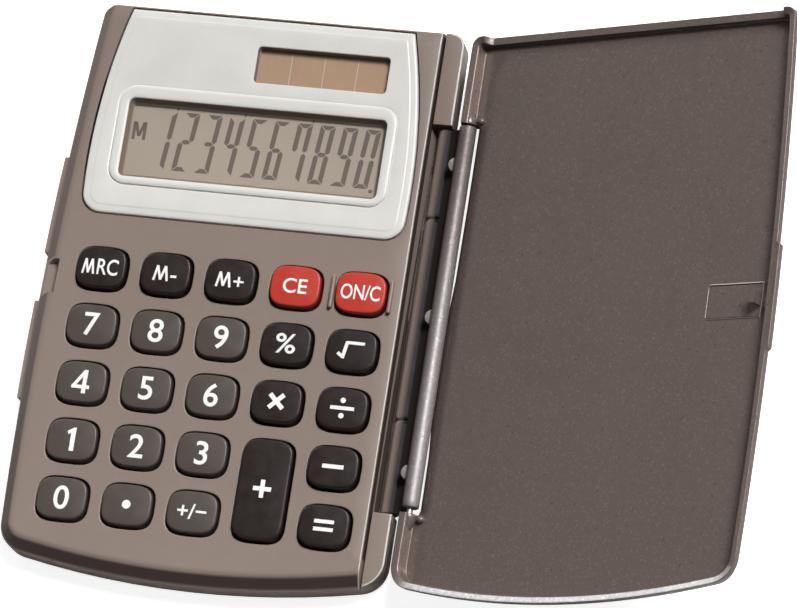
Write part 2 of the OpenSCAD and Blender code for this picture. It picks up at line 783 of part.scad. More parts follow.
dome_top_r = dome_r - 0.7;
dome_roof = 0.5;
module key_mat() {
    color(rubber_colour) difference() {
        union() {
            translate([board_x0, board_y0, split_z])
                cube([board_x1 - board_x0, board_mid_y - board_y0, mat_t]);
            for (i = [0:columns - 1], j = [0:rows - 1])
                translate([key_x0 + i * key_pitch_x, key_y0 + j * key_pitch_y, mat_top - eps])
                    cylinder(h = dome_h - play + eps, r1 = dome_r, r2 = dome_top_r, $fn = round_fn);
        }
        for (i = [0:columns - 1], j = [0:rows - 1])
            post(
                [key_x0 + i * key_pitch_x, key_y0 + j * key_pitch_y], dome_top_r - 0.4,
                split_z - eps, lip_z - play - dome_roof
            );
    }
}

module battery_cell() {
    gasket = 0.35;
    color(steel_colour) union() {
        post([battery_x, battery_y], battery_r, rear_floor, rear_floor + battery_h - gasket);
        post([battery_x, battery_y], battery_r - 1, rear_floor, rear_floor + battery_h);
    }
}

leaf_w = 4;
tab_on_board = 2.4;
module battery_contact_minus() {
    z = rear_floor + battery_h;
    y = board_top_y + leaf_t / 2;
    color(steel_colour) translate([battery_x - leaf_w / 2, 0, 0]) union() {
        box(0, leaf_w, y, battery_y + battery_r / 3, z, z + leaf_t);
        box(0, leaf_w, y, y + leaf_t, board_z - leaf_t, z + leaf_t);
        box(0, leaf_w, y - tab_on_board, y + leaf_t, board_z - leaf_t, board_z);
    }
}

module battery_contact_plus() {
    x = battery_x - battery_r - leaf_t;
    arm_z = board_z - 1;
    y = board_top_y - tab_on_board;
    color(steel_colour) union() {
        box(x, x + leaf_t, battery_y - battery_r / 2, battery_y + battery_r / 2, rear_floor + 0.5, board_z);
        box(x, x + leaf_t, y, battery_y, arm_z, board_z);
        box(x, x + tab_on_board, y, board_top_y, board_z - leaf_t, board_z);
    }
}

module battery_door() {
    color(case_colour) difference() {
        union() {
            post([battery_x, battery_y], door_r, 0, rear_floor - door_ledge - play);
            post([battery_x, battery_y], well_r - door_clear, 0, rear_floor);
        }
        box(
            battery_x - coin_slot_l / 2, battery_x + coin_slot_l / 2,
            battery_y - coin_slot_w / 2, battery_y + coin_slot_w / 2, -eps, coin_slot_d
        );
    }
}

cross_l = 2;
cross_w = 0.5;
module case_screws() {
    top = screw_sunk + screw_head_h;
    color(steel_colour) for (p = SCREWS) difference() {
        union() {
            post(p, screw_head_r, screw_sunk, top);
            post(p, screw_r, screw_sunk, pilot_top);
        }
        for (turn = [0, 90])
            translate([p[0], p[1], screw_sunk - eps]) rotate([0, 0, turn])
                box(-cross_l / 2, cross_l / 2, -cross_w / 2, cross_w / 2, 0, screw_head_h / 2);
    }
}

module hinge_link() {
    body_l0 = notch_l - 2 * barrel_gap;
    cover_l0 = notch_l - 2 * pin_shows;
    hole = pin_deep + eps;
    color(cover_colour) open_link() difference() {
        union() {
            rod_y(0, notch_y - body_l0 / 2, 0, body_barrel_r, body_l0);
            rod_y(link_d, notch_y - cover_l0 / 2, 0, cover_barrel_r, cover_l0);
            box(0, link_d, notch_y - cover_l0 / 2, notch_y + cover_l0 / 2, -web_t / 2, web_t / 2);
            for (i = [-1:1])
                post([link_d - cover_barrel_r * 0.8, notch_y + i * web_boss_pitch], web_boss_r, 0, web_boss_h);
        }
        for (side = [-1, 1]) {
            crease = notch_y + side * crease_pitch / 2;
            difference() {
                rod_y(0, crease - crease_w / 2, 0, body_barrel_r + 1, crease_w);
                rod_y(0, crease - crease_w, 0, body_barrel_r - crease_d, 2 * crease_w);
                box(0, link_d, crease - crease_w, crease + crease_w, -body_barrel_r, web_t / 2);
            }
        }
        rod_y(0, notch_y - body_l0 / 2 - eps, 0, pin_r, hole);
        rod_y(0, notch_y + body_l0 / 2 - pin_deep, 0, pin_r, hole);
        rod_y(link_d, notch_y - cover_l0 / 2 - eps, 0, pin_r, hole);
        rod_y(link_d, notch_y + cover_l0 / 2 - pin_deep, 0, pin_r, hole);
    }
}

module body_hinge_pins() {
    reach = pin_deep - barrel_gap;
    color(steel_colour) open_link() {
        rod_y(0, notch_y0 - reach, 0, pin_r, pin_deep + barrel_gap + reach);
        rod_y(0, notch_y1 - barrel_gap - pin_deep, 0, pin_r, pin_deep + barrel_gap + reach);
    }
}

module cover_hinge_pins() {
    reach = pin_deep - barrel_gap;
    color(steel_colour) open_link() {
        rod_y(link_d, notch_y0 - reach, 0, pin_r, pin_deep + pin_shows + reach);
        rod_y(link_d, notch_y1 - pin_shows - pin_deep, 0, pin_r, pin_deep + pin_shows + reach);
    }
}

// The cover's outline, drawn in by i at its free side and by k at its other sides
function cover_plan(i, k) =
    [
        for (p = outline_top(k, k + cover_top_in))
            let (longer = cover_longer + cover_skew * p[0] / half_w)
            [
                p[0] < 0 ? p[0] * cover_stretch * (half_w - i) / (half_w - k) : p[0],
                p[1] < 0 ? p[1] * (1 + longer / half_l) : p[1]
            ]
    ];

module cover_block() {
    hull() {
        at_z(rim_z, cover_upright) polygon(cover_plan(cover_in, cover_in));
        at_z(cover_top_z - slice, slice) polygon(cover_plan(cover_in + cover_edge, cover_in + hinge_edge));
    }
    at_z(rim_z, tab_h) intersection() {
        polygon(cover_plan(cover_in - tab_proud, cover_in));
        translate([-body_w, tab_y - tab_l / 2]) square([body_w, tab_l]);
    }
}

module cover_cavity() {
    wall_in = cover_in + cover_wall;
    crest_in = wall_in - cover_lip;
    hull() {
        at_z(rim_z - eps, cover_upright + eps) polygon(cover_plan(wall_in, wall_in));
        at_z(cover_inside_z - slice, slice) polygon(cover_plan(wall_in + floor_in, wall_in));
    }
    hull() {
        at_z(rim_z - eps, slice) polygon(cover_plan(crest_in, crest_in));
        at_z(rim_z + cover_lip_h - slice, slice) polygon(cover_plan(wall_in, wall_in));
    }
}

module cover_tray() {
    difference() {
        cover_block();
        cover_cavity();
        box(top_cut_x0, top_cut_x1, half_l - 3 * cover_wall, body_l, 0, bezel_z + top_cut_clear);
        box(hinge_x - hinge_cut, body_w, notch_y0, notch_y1, 0, 2 * cover_top_z);
    }
}

module cover_ears() {
    for (y = [notch_y0 - ear_l, notch_y1])
        intersection() {
            union() {
                rod_y(hinge_x, y, closed_axis_z, cover_barrel_r, ear_l);
                box(
                    hinge_x - cover_barrel_r, half_w - cover_in - hinge_edge, y, y + ear_l,
                    closed_axis_z, cover_inside_z + cover_floor / 2
                );
            }
            box(0, body_w, -body_l, body_l, rim_z, cover_top_z);
        }
}

module latch_seat(grow) {
    polygon(round_box(
        [latch_x0 + latch_l / 2, latch_y], latch_l + 2 * grow, latch_w - 2 * latch_clear + 2 * grow,
        latch_round
    ));
}

module cover() {
    color(cover_colour) open_cover() difference() {
        union() {
            cover_tray();
            cover_ears();
        }
        at_z(cover_inside_z - eps, latch_t + eps) latch_seat(latch_clear);
        for (y = [notch_y0 - pin_deep, notch_y1 - eps])
            rod_y(hinge_x, y, closed_axis_z, bore_r, pin_deep + eps);
    }
}

module latch_clip() {
    y0 = latch_y - hook_w / 2;
    z0 = rim_z + hook_up;
    color(cover_colour) open_cover() union() {
        at_z(cover_inside_z, latch_t) latch_seat(0);
        box(hook_x0, hook_x0 + hook_t, y0, y0 + hook_w, z0, cover_inside_z + eps);
        box(hook_x0, hook_x0 + hook_t + hook_nub, y0, y0 + hook_w, z0, z0 + hook_nub_h);
    }
}
// How far the bowed side has drawn in at height y
function side_sag(y) = side_r - sqrt(side_r * side_r - pow(y - side_apex_y, 2));

for (k = KEYS) key(k);
front_case();
rear_case();
display_bezel();
display_window();
solar_window();
lcd_glass();
lcd_contacts();
solar_cell();
solar_leads();
circuit_board();
chip_resin();
board_components();
key_mat();
battery_cell();
battery_contact_plus();
battery_contact_minus();
battery_door();
case_screws();
hinge_link();
body_hinge_pins();
cover_hinge_pins();
cover();
latch_clip();
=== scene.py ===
"""Pocket calculator with a hinged hard cover: its looks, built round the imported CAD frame.

Run as a script, it dresses the frame piece by piece. Sizes in the functions are millimetres in the part's own
frame: x across the keys to the hinge, y up to the display, z up from the rear face. Meshes are in metres.
"""
import math
from collections import namedtuple

import bmesh
import bpy
import numpy as np
from bpy.props import FloatProperty, FloatVectorProperty, PointerProperty
from mathutils import Matrix, Vector
from mathutils.geometry import delaunay_2d_cdt


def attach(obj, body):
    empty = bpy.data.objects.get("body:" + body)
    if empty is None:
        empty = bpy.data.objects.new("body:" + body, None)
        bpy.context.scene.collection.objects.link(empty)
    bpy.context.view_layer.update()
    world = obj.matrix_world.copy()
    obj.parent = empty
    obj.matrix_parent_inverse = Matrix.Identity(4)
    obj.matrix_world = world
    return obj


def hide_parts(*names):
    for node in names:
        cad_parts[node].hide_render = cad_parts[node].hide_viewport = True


bl_info = {
    "name": "Pocket calculator",
    "version": (1, 0, 0),
    "blender": (4, 5, 0),
    "location": "View3D > Sidebar > Calculator",
    "description": "Dresses the frame of a pocket calculator with a hinged cover",
    "category": "Object",
}

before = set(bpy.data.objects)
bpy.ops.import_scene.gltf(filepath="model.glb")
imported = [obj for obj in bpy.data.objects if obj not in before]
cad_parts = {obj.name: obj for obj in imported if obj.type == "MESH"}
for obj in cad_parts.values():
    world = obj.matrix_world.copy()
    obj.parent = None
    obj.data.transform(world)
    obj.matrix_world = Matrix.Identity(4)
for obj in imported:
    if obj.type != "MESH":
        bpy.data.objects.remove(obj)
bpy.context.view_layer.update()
MM = 0.001

# Plan and heights of the body
HALF_W, HALF_L = 37.5, 56.65
SIDE_R, SIDE_Y = 900.0, -20.6
BOTTOM_R = 170.0
TOP_CORNER, LOW_CORNER, LEAST_ROUND = 2.6, 5.5, 0.4
SPLIT_Z, STRIP_Z, PANEL_Z = 5.0, 6.6, 8.4
BEVEL_W, TOP_BEVEL, TOP_FALL, TOP_FALL_L = 2.8, 0.7, 0.4, 3.4
PANEL_IN, PANEL_TOP_IN = 4.5, 0.86
STEP_X, STEP_EDGE, STEP_GROOVE = 33.4, 0.4, 0.26
BAY_W, BAY_Z, BAY_DROP, BAY_FOOT = 0.72, 5.0, 2.6, 1.0
LEFT_X = -30.0
NOTCH_Y0, NOTCH_Y1 = -38.65, 38.15
NOTCH_Y = (NOTCH_Y0 + NOTCH_Y1) / 2
CATCH_Y, CATCH_HALF, CATCH_Z, CATCH_IN = 0.2, 3.15, 6.5, 3.3

# Keys
PITCH_X, PITCH_Y = 12.7, 11.4
KEY_X0, KEY_Y0 = -25.2, -43.15
OPEN_W, OPEN_L, KEY_GAP, KEY_POWER = 10.4, 9.0, 0.35, 3.4
LIP_Z, LIP_T, LIP_OUT = 6.2, 0.6, 0.5
DIGIT_PROUD, FUNCTION_PROUD, KEY_RIM = 1.2, 1.5, 12
Key = namedtuple("Key", "name column row rows kind legend")
KEYS = tuple(Key(*key) for key in (
    ("key_mrc", 0, 0, 1, "dark", "MRC"), ("key_m_minus", 1, 0, 1, "dark", "M-"),
    ("key_m_plus", 2, 0, 1, "dark", "M+"), ("key_ce", 3, 0, 1, "red", "CE"),
    ("key_on", 4, 0, 1, "red", "ON/C"),
    ("key_7", 0, 1, 1, "digit", "7"), ("key_8", 1, 1, 1, "digit", "8"), ("key_9", 2, 1, 1, "digit", "9"),
    ("key_percent", 3, 1, 1, "dark", "%"), ("key_root", 4, 1, 1, "dark", "root"),
    ("key_4", 0, 2, 1, "digit", "4"), ("key_5", 1, 2, 1, "digit", "5"), ("key_6", 2, 2, 1, "digit", "6"),
    ("key_times", 3, 2, 1, "dark", "times"), ("key_divide", 4, 2, 1, "dark", "divide"),
    ("key_1", 0, 3, 1, "digit", "1"), ("key_2", 1, 3, 1, "digit", "2"), ("key_3", 2, 3, 1, "digit", "3"),
    ("key_plus", 3, 3, 2, "dark", "plus"), ("key_minus", 4, 3, 1, "dark", "minus"),
    ("key_0", 0, 4, 1, "digit", "0"), ("key_point", 1, 4, 1, "digit", "point"),
    ("key_sign", 2, 4, 1, "digit", "+/-"), ("key_equals", 4, 4, 1, "dark", "equals"),
))
ON_KEY = KEYS[4]

# Display
BEZEL_X, BEZEL_HALF, BEZEL_Y0, BEZEL_Y1 = 0.0, 31.95, 13.65, 55.55
BEZEL_SIDE_R, BEZEL_APEX, BEZEL_CORNER, BEZEL_GAP = 125.0, 10.7, 4.0, 0.2
SEAT_Z, BEZEL_Z, FRAME_Z, GLASS_TOP = 7.4, 8.7, 9.05, 6.85
LCD_W, LCD_L, LCD_Y, LCD_ROUND = 50.9, 15.9, BEZEL_Y0 + 15.65, 1.2
FRAME_W, FRAME_L, FRAME_Y, FRAME_ROUND = 54.8, 20.1, LCD_Y + 0.5, 3.4
SOLAR_X, SOLAR_Y, SOLAR_W, SOLAR_L, SOLAR_ROUND = 11.05, LCD_Y + 16.95, 26.1, 7.4, 0.8

# Closed cover and hinge axes
COVER_IN, COVER_WALL, COVER_LIP_H = 0.6, 1.4, 1.1
RIM_Z, COVER_FLOOR_Z, COVER_TOP_Z = 7.3857, 10.3, 11.6
COVER_EDGE, COVER_HINGE_EDGE, COVER_UPRIGHT = 2.2, 1.0, 1.2
COVER_TOP_IN, COVER_LONGER, COVER_SKEW, COVER_SPLAY = 0.5, 0.5, 0.25, 0.4
COVER_STRETCH = 1 + 2.4 / HALF_W
HINGE_X, HINGE_Z, CLOSED_AXIS_Z, LINK_D = 36.4, 3.592857, 9.492857, 5.9
BODY_BARREL_R, COVER_BARREL_R = 1.75, 1.65
HINGE_CUT, EAR_R, EAR_L = 1.75, 1.65, 3.6
LINK_REST, COVER_REST = 41.0, 27.0
COVER_AXIS_X = HINGE_X + LINK_D * math.cos(math.radians(LINK_REST))
COVER_AXIS_Z = HINGE_Z + LINK_D * math.sin(math.radians(LINK_REST))
TOP_CUT_X0, TOP_CUT_X1, TOP_CUT_Z = -32.9, 33.8, 9.1
TAB_Y, TAB_HALF, TAB_OUT, TAB_H = -0.1, 10.2, 0.6, 1.3
FOLD_W = 1.6
LATCH_Y, LATCH_X0, LATCH_L, LATCH_W = 0.2, -36.4, 12.8, 6.3
CREASE_Y, CREASE_W, CREASE_D = 19.97, 0.35, 0.45
BOSS_PITCH, BOSS_R, BOSS_X, BOSS_Z = 30.4, 1.5, 39.55, 7.75

# Stage and camera
MIDDLE = Vector((0.03, 0.0, 0.01))
LENS, CAMERA_AT = 216.16, (209.43, -239.94, 859.77)
CAMERA_RIGHT = (0.97582519, 0.14866049, -0.1602038)
CAMERA_DOWN = (0.09741128, -0.95203002, -0.29008598)
CAMERA_AHEAD = (-0.19564315, 0.26746755, -0.94349609)


def srgb(r, g, b):
    """Linear colour of an 8 bit screen colour."""
    c = np.array([r, g, b]) / 255
    return tuple(np.where(c <= 0.04045, c / 12.92, ((c + 0.055) / 1.055) ** 2.4))


class CalculatorLook(bpy.types.PropertyGroup):
    """Colours and soft sizes that a user would change."""

    case_colour: FloatVectorProperty(
        name="Case", description="Paint of the case", subtype="COLOR", default=srgb(137, 122, 113))
    cover_colour: FloatVectorProperty(
        name="Cover", description="Paint of the cover", subtype="COLOR", default=srgb(124, 111, 105))
    digit_colour: FloatVectorProperty(
        name="Number keys", description="Plastic of number keys", subtype="COLOR", default=srgb(79, 70, 65))
    dark_colour: FloatVectorProperty(
        name="Function keys", description="Function key plastic", subtype="COLOR", default=srgb(37, 28, 26))
    red_colour: FloatVectorProperty(
        name="Red keys", description="Plastic of the clear keys", subtype="COLOR", default=srgb(188, 55, 41))
    bezel_colour: FloatVectorProperty(
        name="Bezel", description="Plastic of the bezel", subtype="COLOR", default=srgb(219, 218, 213))
    lcd_colour: FloatVectorProperty(
        name="Display", description="Ground of the display", subtype="COLOR", default=srgb(167, 152, 136))
    solar_colour: FloatVectorProperty(
        name="Solar cell", description="Film of the solar cell", subtype="COLOR", default=srgb(174, 138, 104))
    legend_colour: FloatVectorProperty(
        name="Legends", description="Print on the keys", subtype="COLOR", default=srgb(241, 241, 238))
    key_crown: FloatProperty(
        name="Key crown", description="Rise of a function key's top, in mm", default=0.13, min=0, max=0.7)
    digit_crown: FloatProperty(
        name="Number crown", description="Rise of a number key's top, in mm", default=0.2, min=0, max=0.7)
    key_round: FloatProperty(
        name="Key edge", description="Radius of a key's upper edge, in mm", default=0.24, min=0.1, max=0.8)
    key_lean: FloatProperty(
        name="Key lean", description="Lean of a key's lower side, in mm", default=0.2, min=0, max=1)


def arc(c, r, a0, a1, n):
    """Points on a circle of radius r about c, from angle a0 to a1 in degrees."""
    a = np.radians(np.linspace(a0, a1, n + 1))
    return np.stack([c[0] + r * np.cos(a), c[1] + r * np.sin(a)], 1)


def line(p, q, n):
    """Points spread evenly from p to q, both included."""
    return np.array(p) + np.linspace(0, 1, n + 1)[:, None] * (np.array(q) - np.array(p))


def step(a, b, x):
    """Smooth step: 0 below a, 1 above b, and the cubic 3t^2 - 2t^3 between."""
    t = np.clip((x - a) / (b - a), 0, 1)
    return t * t * (3 - 2 * t)


def corners(i, t=None):
    """Corner circles of the body's outline drawn in by i, and by t at its top: each touches its two
    neighbouring sides."""
    ru, rl = max(TOP_CORNER, i + LEAST_ROUND), max(LOW_CORNER, i + LEAST_ROUND)
    top = HALF_L + i - (i if t is None else t) - ru
    side, low = np.array([SIDE_R - HALF_W, SIDE_Y]), np.array([0, BOTTOM_R - HALF_L])
    ur = np.array([HALF_W - ru, top])
    ul = np.array([side[0] - math.sqrt((SIDE_R - ru) ** 2 - (top - SIDE_Y) ** 2), top])
    lr = np.array([HALF_W - rl, low[1] - math.sqrt((BOTTOM_R - rl) ** 2 - (HALF_W - rl) ** 2)])
    gap = low - side
    d = np.hypot(*gap)
    u = gap / d
    along = ((SIDE_R - rl) ** 2 - (BOTTOM_R - rl) ** 2 + d * d) / (2 * d)
    ll = side + along * u + math.sqrt((SIDE_R - rl) ** 2 - along ** 2) * np.array([-u[1], u[0]])
    return ru - i, rl - i, ur, ul, lr, ll, side, low


def angle(c, p):
    """Direction from c to p in degrees, from 0 to 360."""
    return math.degrees(math.atan2(p[1] - c[1], p[0] - c[0])) % 360


def left_path(i, t, cut_x):
    """The body's outline drawn in by i, and by t at the top. It runs from x = cut_x on the lower right
    corner, round by the bowed lower end and left side, to x = cut_x on the straight top."""
    ru, rl, ur, ul, lr, ll, side, low = corners(i, t)
    start = -math.degrees(math.acos(min(1, (cut_x - lr[0]) / rl)))
    a_lr, a_low = angle(low, lr) - 360, angle(low, ll) - 360
    a_side, a_ul = angle(side, ll), angle(side, ul)
    return np.concatenate([
        arc(lr, rl, start, a_lr, 8),
        arc(low, BOTTOM_R - i, a_lr, a_low, 60)[1:],
        arc(ll, rl, a_low + 360, a_side, 14)[1:],
        arc(side, SIDE_R - i, a_side, a_ul, 200)[1:],
        arc(ul, ru, a_ul, 90, 10)[1:],
        line((ul[0], HALF_L - t), (cut_x, HALF_L - t), 90)[1:],
    ])


def cover_path(i, k):
    """The cover's outline, drawn in by i at its free side and by k at its other sides: from the notch's upper
    end round by the top, the free side and the lower end to the notch's lower end. The free half is stretched
    sideways past the body. The lower half is drawn out, most of all at the hinge, whose side splays a
    little."""
    t = k + COVER_TOP_IN
    ru, rl, ur, ul, lr, ll, side, low = corners(k, t)
    a_lr, a_low = angle(low, lr), angle(low, ll)
    a_side, a_ul = angle(side, ll), angle(side, ul)
    path = np.concatenate([
        line((HALF_W - k, NOTCH_Y1), (HALF_W - k, ur[1]), 8),
        arc(ur, ru, 0, 90, 10)[1:],
        line((ur[0], HALF_L - t), (ul[0], HALF_L - t), 110)[1:],
        arc(ul, ru, 90, a_ul, 10)[1:],
        arc(side, SIDE_R - k, a_ul, a_side, 180)[1:],
        arc(ll, rl, a_side, a_low, 14)[1:],
        arc(low, BOTTOM_R - k, a_low, a_lr, 60)[1:],
        arc(lr, rl, a_lr, 360, 12)[1:],
        line((HALF_W - k, lr[1]), (HALF_W - k, NOTCH_Y0), 8)[1:],
    ])
    x, y = path.T
    longer = COVER_LONGER + COVER_SKEW * x / HALF_W
    splay = 1 + COVER_SPLAY / HALF_W * np.clip(-y / HALF_L, 0, 1)
    x = x * np.where(x < 0, COVER_STRETCH * (HALF_W - i) / (HALF_W - k), splay)
    y = np.where(y < 0, y * (1 + longer / HALF_L), y)
    y[-1] = NOTCH_Y0
    return np.stack([x, y], 1)


def bezel_path(i):
    """The bezel's outline drawn in by i, anticlockwise from its lower right corner: bowed sides and straight
    top."""
    c0 = np.array([BEZEL_HALF - BEZEL_SIDE_R, BEZEL_Y0 + BEZEL_APEX])
    dy = BEZEL_Y0 + BEZEL_CORNER - c0[1]
    c = np.array([c0[0] + math.sqrt((BEZEL_SIDE_R - BEZEL_CORNER) ** 2 - dy * dy), BEZEL_Y0 + BEZEL_CORNER])
    a = math.degrees(math.atan2(c[1] - c0[1], c[0] - c0[0]))
    top = math.degrees(math.asin((BEZEL_Y1 - i - c0[1]) / (BEZEL_SIDE_R - i)))
    right = np.concatenate([
        arc(c, max(BEZEL_CORNER - i, 0.2), -90, a, 14),
        arc(c0, BEZEL_SIDE_R - i, a, top, 60)[1:],
    ])
    left = right[::-1] * [-1, 1]
    across = line(right[-1], left[0], 70)[1:-1]
    under = line(left[-1], right[0], 70)[1:-1]
    return np.concatenate([right, across, left, under]) + [BEZEL_X, 0]


def round_box(c, w, l, r):
    """A rounded rectangle about c, anticlockwise."""
    x, y = w / 2 - r, l / 2 - r
    quarter = [arc((c[0] + sx * x, c[1] + sy * y), r, a, a + 90, 8)
               for sx, sy, a in ((1, -1, -90), (1, 1, 0), (-1, 1, 90), (-1, -1, 180))]
    ring = np.concatenate(quarter)
    pieces = [np.concatenate([ring[k:k + 1], line(ring[k], ring[(k + 1) % len(ring)], 12)[1:-1]])
              if k % 9 == 8 else ring[k:k + 1] for k in range(len(ring))]
    return np.concatenate(pieces)


def key_ring(centre, longer, grow, n=64):
    """A key's outline grown by grow: a superellipse whose two halves are drawn apart by longer."""
    a = 2 * np.pi * (np.arange(n) + 0.5) / n
    round_one = np.stack([np.cos(a), np.sin(a)], 1)
    bulged = np.sign(round_one) * np.abs(round_one) ** (2 / KEY_POWER)
    apart = np.sign(round_one) * [0, longer / 2]
    return bulged * [OPEN_W / 2 + grow, OPEN_L / 2 + grow] + apart + centre


def key_place(key):
    """Centre of a key, and how much longer than one row it is."""
    longer = (key.rows - 1) * PITCH_Y
    return np.array([KEY_X0 + key.column * PITCH_X, KEY_Y0 + (4 - key.row) * PITCH_Y - longer / 2]), longer


def sheet(points, closed=False):
    """A grid of points (rows, columns, 3) as vertices and quads. closed joins the last column to the
    first."""
    n, m = points.shape[:2]
    k = np.arange(n * m).reshape(n, m)
    right = np.roll(k, -1, 1) if closed else k[:, 1:]
    left = k if closed else k[:, :-1]
    quads = np.stack([left[:-1], right[:-1], right[1:], left[1:]], -1).reshape(-1, 4)
    return points.reshape(-1, 3), quads.tolist()


def lift(plan, z):
    """Plan points at one height or at heights of their own."""
    return np.concatenate([plan, np.broadcast_to(np.asarray(z, float), len(plan))[:, None]], 1)


def inside(points, loop):
    """True where a point lies in a closed loop: an odd number of sides cross the ray to its right."""
    a, b = loop, np.roll(loop, -1, 0)
    x, y = points[:, :1], points[:, 1:2]
    cross = (a[:, 1] > y) != (b[:, 1] > y)
    rise = np.where(b[:, 1] == a[:, 1], 1e-12, b[:, 1] - a[:, 1])
    return (cross & (x < a[:, 0] + (y - a[:, 1]) * (b[:, 0] - a[:, 0]) / rise)).sum(1) % 2 == 1


def plate(loops, z):
    """A flat plate: Delaunay triangles between an outer loop and the loops of its holes, kept where a
    triangle's middle lies inside the outer loop and outside every hole."""
    points = np.concatenate(loops)
    edges, at = [], 0
    for loop in loops:
        k = at + np.arange(len(loop))
        edges += list(zip(k.tolist(), np.roll(k, -1).tolist()))
        at += len(loop)
    found = delaunay_2d_cdt([Vector(p) for p in points], edges, [], 0, 1e-6)
    xy, faces = np.array([tuple(v) for v in found[0]]), np.array(found[2])
    middle = xy[faces].mean(1)
    keep = inside(middle, loops[0])
    for hole in loops[1:]:
        keep &= ~inside(middle, hole)
    return lift(xy, z), faces[keep].tolist()


def fan(ring):
    """A ring of points closed by one flat face."""
    return ring, [list(range(len(ring)))]


def closed_rings(rings):
    """A closed shape: rings joined one to the next, with a flat face on the first and on the last."""
    return sheet(rings, closed=True), fan(rings[0]), fan(rings[-1])


def thin_band(rows, *up):
    """A closed band laid on a grid of rows: its upper side stands off them by up, and its under side lies as
    far behind."""
    around = np.concatenate([rows + up, rows[::-1] - np.array(up)])
    return closed_rings(np.swapaxes(around, 0, 1))


def add_object(name, data):
    """A new object in the scene."""
    added = bpy.data.objects.new(name, data)
    bpy.context.scene.collection.objects.link(added)
    return added


def make_piece(name, parts, finish, body, replaces=(), turn=None, sharp=32, merge=2e-4):
    """Joins patches of vertices and faces, in millimetres, to one mesh that rides on a body. Doubles are
    merged and faces turned outwards. Edges over the sharp angle stay crisp. turn places a part drawn
    elsewhere."""
    points, faces, at = [], [], 0
    for vertices, polygons in parts:
        points.append(np.asarray(vertices, float))
        faces += [[at + k for k in polygon] for polygon in polygons]
        at += len(vertices)
    points = np.concatenate(points)
    if turn is not None:
        points = points @ np.array(turn.to_3x3()).T + np.array(turn.translation)
    mesh = bpy.data.meshes.new(name)
    mesh.from_pydata(points * MM, [], faces)
    built = bmesh.new()
    built.from_mesh(mesh)
    bmesh.ops.remove_doubles(built, verts=built.verts, dist=merge * MM)
    bmesh.ops.dissolve_degenerate(built, edges=built.edges, dist=merge * MM * 0.1)
    bmesh.ops.recalc_face_normals(built, faces=built.faces)
    built.to_mesh(mesh)
    built.free()
    mesh.shade_smooth()
    mesh.set_sharp_from_angle(angle=math.radians(sharp))
    mesh.materials.append(finish_named(finish))
    piece = add_object(name, mesh)
    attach(piece, body)
    if replaces:
        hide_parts(*replaces)


def cover_place():
    """Takes the closed cover's frame to the open cover's place."""
    axis = Matrix.Translation((COVER_AXIS_X, 0, COVER_AXIS_Z))
    turned = Matrix.Rotation(math.radians(180 - COVER_REST), 4, "Y")
    return axis @ turned @ Matrix.Translation((-HINGE_X, 0, -CLOSED_AXIS_Z))


class Nodes:
    """A material's node tree, with short calls that add a node and link it."""

    def __init__(self, name, **constants):
        self.material = bpy.data.materials.new(name)
        self.material.use_nodes = True
        self.tree = self.material.node_tree
        self.shader = self.tree.nodes["Principled BSDF"]
        for socket, value in constants.items():
            self.shader.inputs[socket.replace("_", " ")].default_value = value
        self.place = self.add("ShaderNodeTexCoord").outputs["Object"]

    def add(self, kind, **settings):
        node = self.tree.nodes.new(kind)
        for key, value in settings.items():
            setattr(node, key, value)
        return node

    def link(self, a, b):
        self.tree.links.new(a, b)

    def texture(self, kind, place=None, **inputs):
        """A node that reads Object coordinates, or coordinates that another node has changed."""
        node = self.add(kind)
        for socket, value in inputs.items():
            node.inputs[socket].default_value = value
        self.link(self.place if place is None else place, node.inputs["Vector"])
        return node

    def noise(self, scale, detail=3, rough=0.55, place=None):
        node = self.texture("ShaderNodeTexNoise", place, Scale=scale, Detail=detail, Roughness=rough)
        return node.outputs["Fac"]

    def streaks(self, *scale):
        """Noise on coordinates that are stretched by a scale along each axis."""
        stretched = self.texture("ShaderNodeMapping", Scale=scale)
        return self.noise(1.0, 2, 0.5, stretched.outputs["Vector"])

    def rise(self, axis, low, high):
        """Grows from 0 at low to 1 at high along an axis, both in millimetres."""
        split, rise = self.add("ShaderNodeSeparateXYZ"), self.add("ShaderNodeMapRange")
        self.link(self.place, split.inputs[0])
        rise.inputs["From Min"].default_value = low * MM
        rise.inputs["From Max"].default_value = high * MM
        self.link(split.outputs[axis], rise.inputs["Value"])
        return rise.outputs["Result"]

    def ramp(self, value, *stops):
        node = self.add("ShaderNodeValToRGB")
        ramp = node.color_ramp
        while len(ramp.elements) < len(stops):
            ramp.elements.new(0.5)
        for element, (at, colour) in zip(ramp.elements, stops):
            element.position = at
            element.color = (*colour, 1) if not np.isscalar(colour) else (colour, colour, colour, 1)
        self.link(value, node.inputs["Fac"])
        return node.outputs["Color"]

    def math(self, operation, a, b):
        node = self.add("ShaderNodeMath", operation=operation)
        for socket, value in zip(node.inputs, (a, b)):
            if np.isscalar(value):
                socket.default_value = value
            else:
                self.link(value, socket)
        return node.outputs[0]

    def mix(self, factor, a, b, blend="MIX"):
        node = self.add("ShaderNodeMix", data_type="RGBA", blend_type=blend)
        for index, value in ((0, factor), (6, a), (7, b)):
            if isinstance(value, (int, float)):
                node.inputs[index].default_value = value
            elif isinstance(value, (tuple, list)):
                node.inputs[index].default_value = (*value, 1)
            else:
                self.link(value, node.inputs[index])
        return node.outputs[2]

    def dim(self, colour, by):
        """A colour multiplied by another."""
        return self.mix(1.0, colour, by, "MULTIPLY")

    def bump(self, height, strength, distance):
        node = self.add("ShaderNodeBump")
        node.inputs["Strength"].default_value = strength
        node.inputs["Distance"].default_value = distance
        self.link(height, node.inputs["Height"])
        self.link(node.outputs["Normal"], self.shader.inputs["Normal"])

    def to(self, output, socket):
        self.link(output, self.shader.inputs[socket])


def tint(colour, factor):
    """A colour made lighter or darker."""
    return tuple(min(1.0, c * factor) for c in colour)


